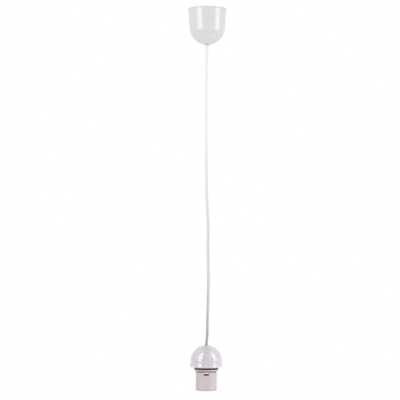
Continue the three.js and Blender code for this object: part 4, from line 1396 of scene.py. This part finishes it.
def screw_shell():
    """The lamp's screw shell: a rolled helical wave of thin brass with a plain collar at each end."""
    bottom, top = low("screw_shell")[2], high("screw_shell")[2]
    foot = bottom + SHELL_WALL
    steps = SPIN_STEPS * SHELL_TURNS
    rise = SHELL_PITCH / SPIN_STEPS
    bm = spin(shell_wave(foot), steps, angle=2 * math.pi * SHELL_TURNS, rise=rise, closed=False)
    bmesh.ops.solidify(bm, geom=bm.faces[:], thickness=SHELL_WALL)
    inner = SHELL_MINOR + SHELL_COLLAR_INSET
    outer = inner + SHELL_WALL
    flange = radius("screw_shell")
    neck = foot + SHELL_NECK
    join(bm, spin(rounded([
        (inner, bottom, 0.1 * MM), (flange, bottom), (flange, foot),
        (outer, foot), (outer, neck), (inner, neck),
    ])))
    collar = top - SHELL_COLLAR
    join(bm, spin([(inner, collar), (outer, collar), (outer, top), (inner, top)]))
    bmesh.ops.recalc_face_normals(bm, faces=bm.faces)
    to_piece(bm, "screw_shell")


def latch(side):
    """A tongue whose nose fills the upper half of the skirt's window."""
    node = "latch_" + side
    piece = finish_piece(soften(copy_of(node), LATCH_EDGE, over=30), node)
    # painted light: the latch gets a lighter copy of the holder plastic
    piece.data.materials[0] = LATCH_PAINTED_LIGHT


def build_holder():
    dome_cover()
    cord_grip()
    grip_screw()
    nut("grip_locknut", 2 * (GRIP_THREAD + GAP), open_through=True)
    holder_cap()
    gasket_ring()
    contact_insert()
    for side in ("front", "back"):
        screw("insert_screw_" + side, UP, *INSERT_SCREW)
        latch(side)
    for pole, core, side in (("side", "neutral", -1), ("centre", "live", 1)):
        holder_terminal(pole)
        screw("holder_terminal_screw_" + pole, DOWN, *HOLDER_SCREW)
        rivet("contact_rivet_" + pole)
        bottom_core(core, side)
    build_contacts()
    holder_skirt()
    screw_shell()


# ---- studio ----

TALL_BOX = (0.85, 2.4)
SMALL_BOX = (0.5, 0.5)
# Name, azimuth in degrees, height, size, distance, power in watts, and whether only reflections show it.
LIGHTS = [
    ("left_softbox", -47, 0.6, TALL_BOX, 1.6, 21, True),
    ("right_softbox", 67, 0.6, TALL_BOX, 1.6, 19, True),
    ("left_fill", -60, 0.6, TALL_BOX, 1.6, 1.5, False),
    ("right_key", 75, 0.6, TALL_BOX, 1.6, 1.2, False),
    ("low_key", 78, -0.9, SMALL_BOX, 0.6, 0.6, False),
]
AMBIENT = 0.87
WHITE = (1, 1, 1, 1)
FLOOR_DROP = 1.6
FLOOR_RADIUS = 3.0


def build_lights():
    for name, azimuth, height, size, distance, power, reflection_only in LIGHTS:
        data = bpy.data.lights.new(name, "AREA")
        data.shape = "RECTANGLE"
        data.size, data.size_y = size
        data.energy = power
        light = bpy.data.objects.new(name, data)
        bpy.context.collection.objects.link(light)
        light.visible_diffuse = not reflection_only
        turn = math.radians(azimuth)
        spot = Vector((math.sin(turn), -math.cos(turn), 0)) * distance
        light.rotation_euler = (-spot).to_track_quat("-Z", "Y").to_euler()
        light.location = spot + Vector((0, 0, height))


def build_world():
    world = bpy.data.worlds.new("soft_studio")
    bpy.context.scene.world = world
    world.use_nodes = True
    tree = world.node_tree
    soft = tree.nodes["Background"]
    soft.inputs["Color"].default_value = WHITE
    soft.inputs["Strength"].default_value = AMBIENT
    seen = add_node(tree, "ShaderNodeBackground", Strength=1.0)
    seen.inputs["Color"].default_value = WHITE
    ray = add_node(tree, "ShaderNodeLightPath")
    mix = add_node(tree, "ShaderNodeMixShader")
    tree.links.new(ray.outputs["Is Camera Ray"], mix.inputs["Fac"])
    tree.links.new(soft.outputs["Background"], mix.inputs[1])
    tree.links.new(seen.outputs["Background"], mix.inputs[2])
    tree.links.new(mix.outputs["Shader"], tree.nodes["World Output"].inputs["Surface"])
    bpy.context.scene.view_settings.view_transform = "Standard"


def build_floor():
    bm = bmesh.new()
    bmesh.ops.create_circle(bm, cap_ends=True, radius=FLOOR_RADIUS, segments=SPIN_STEPS)
    bmesh.ops.translate(bm, verts=bm.verts, vec=(0, 0, -FLOOR_DROP))
    mesh = bpy.data.meshes.new("floor")
    bm.to_mesh(mesh)
    bm.free()
    floor = bpy.data.objects.new("floor", mesh)
    bpy.context.collection.objects.link(floor)
    mesh.materials.append(FLOOR_FINISH)


build_camera()
build_cord()
build_ceiling_fixing()
build_hanger()
canopy_cup()
canopy_grommet()
build_holder()
build_world()
build_lights()
build_floor()
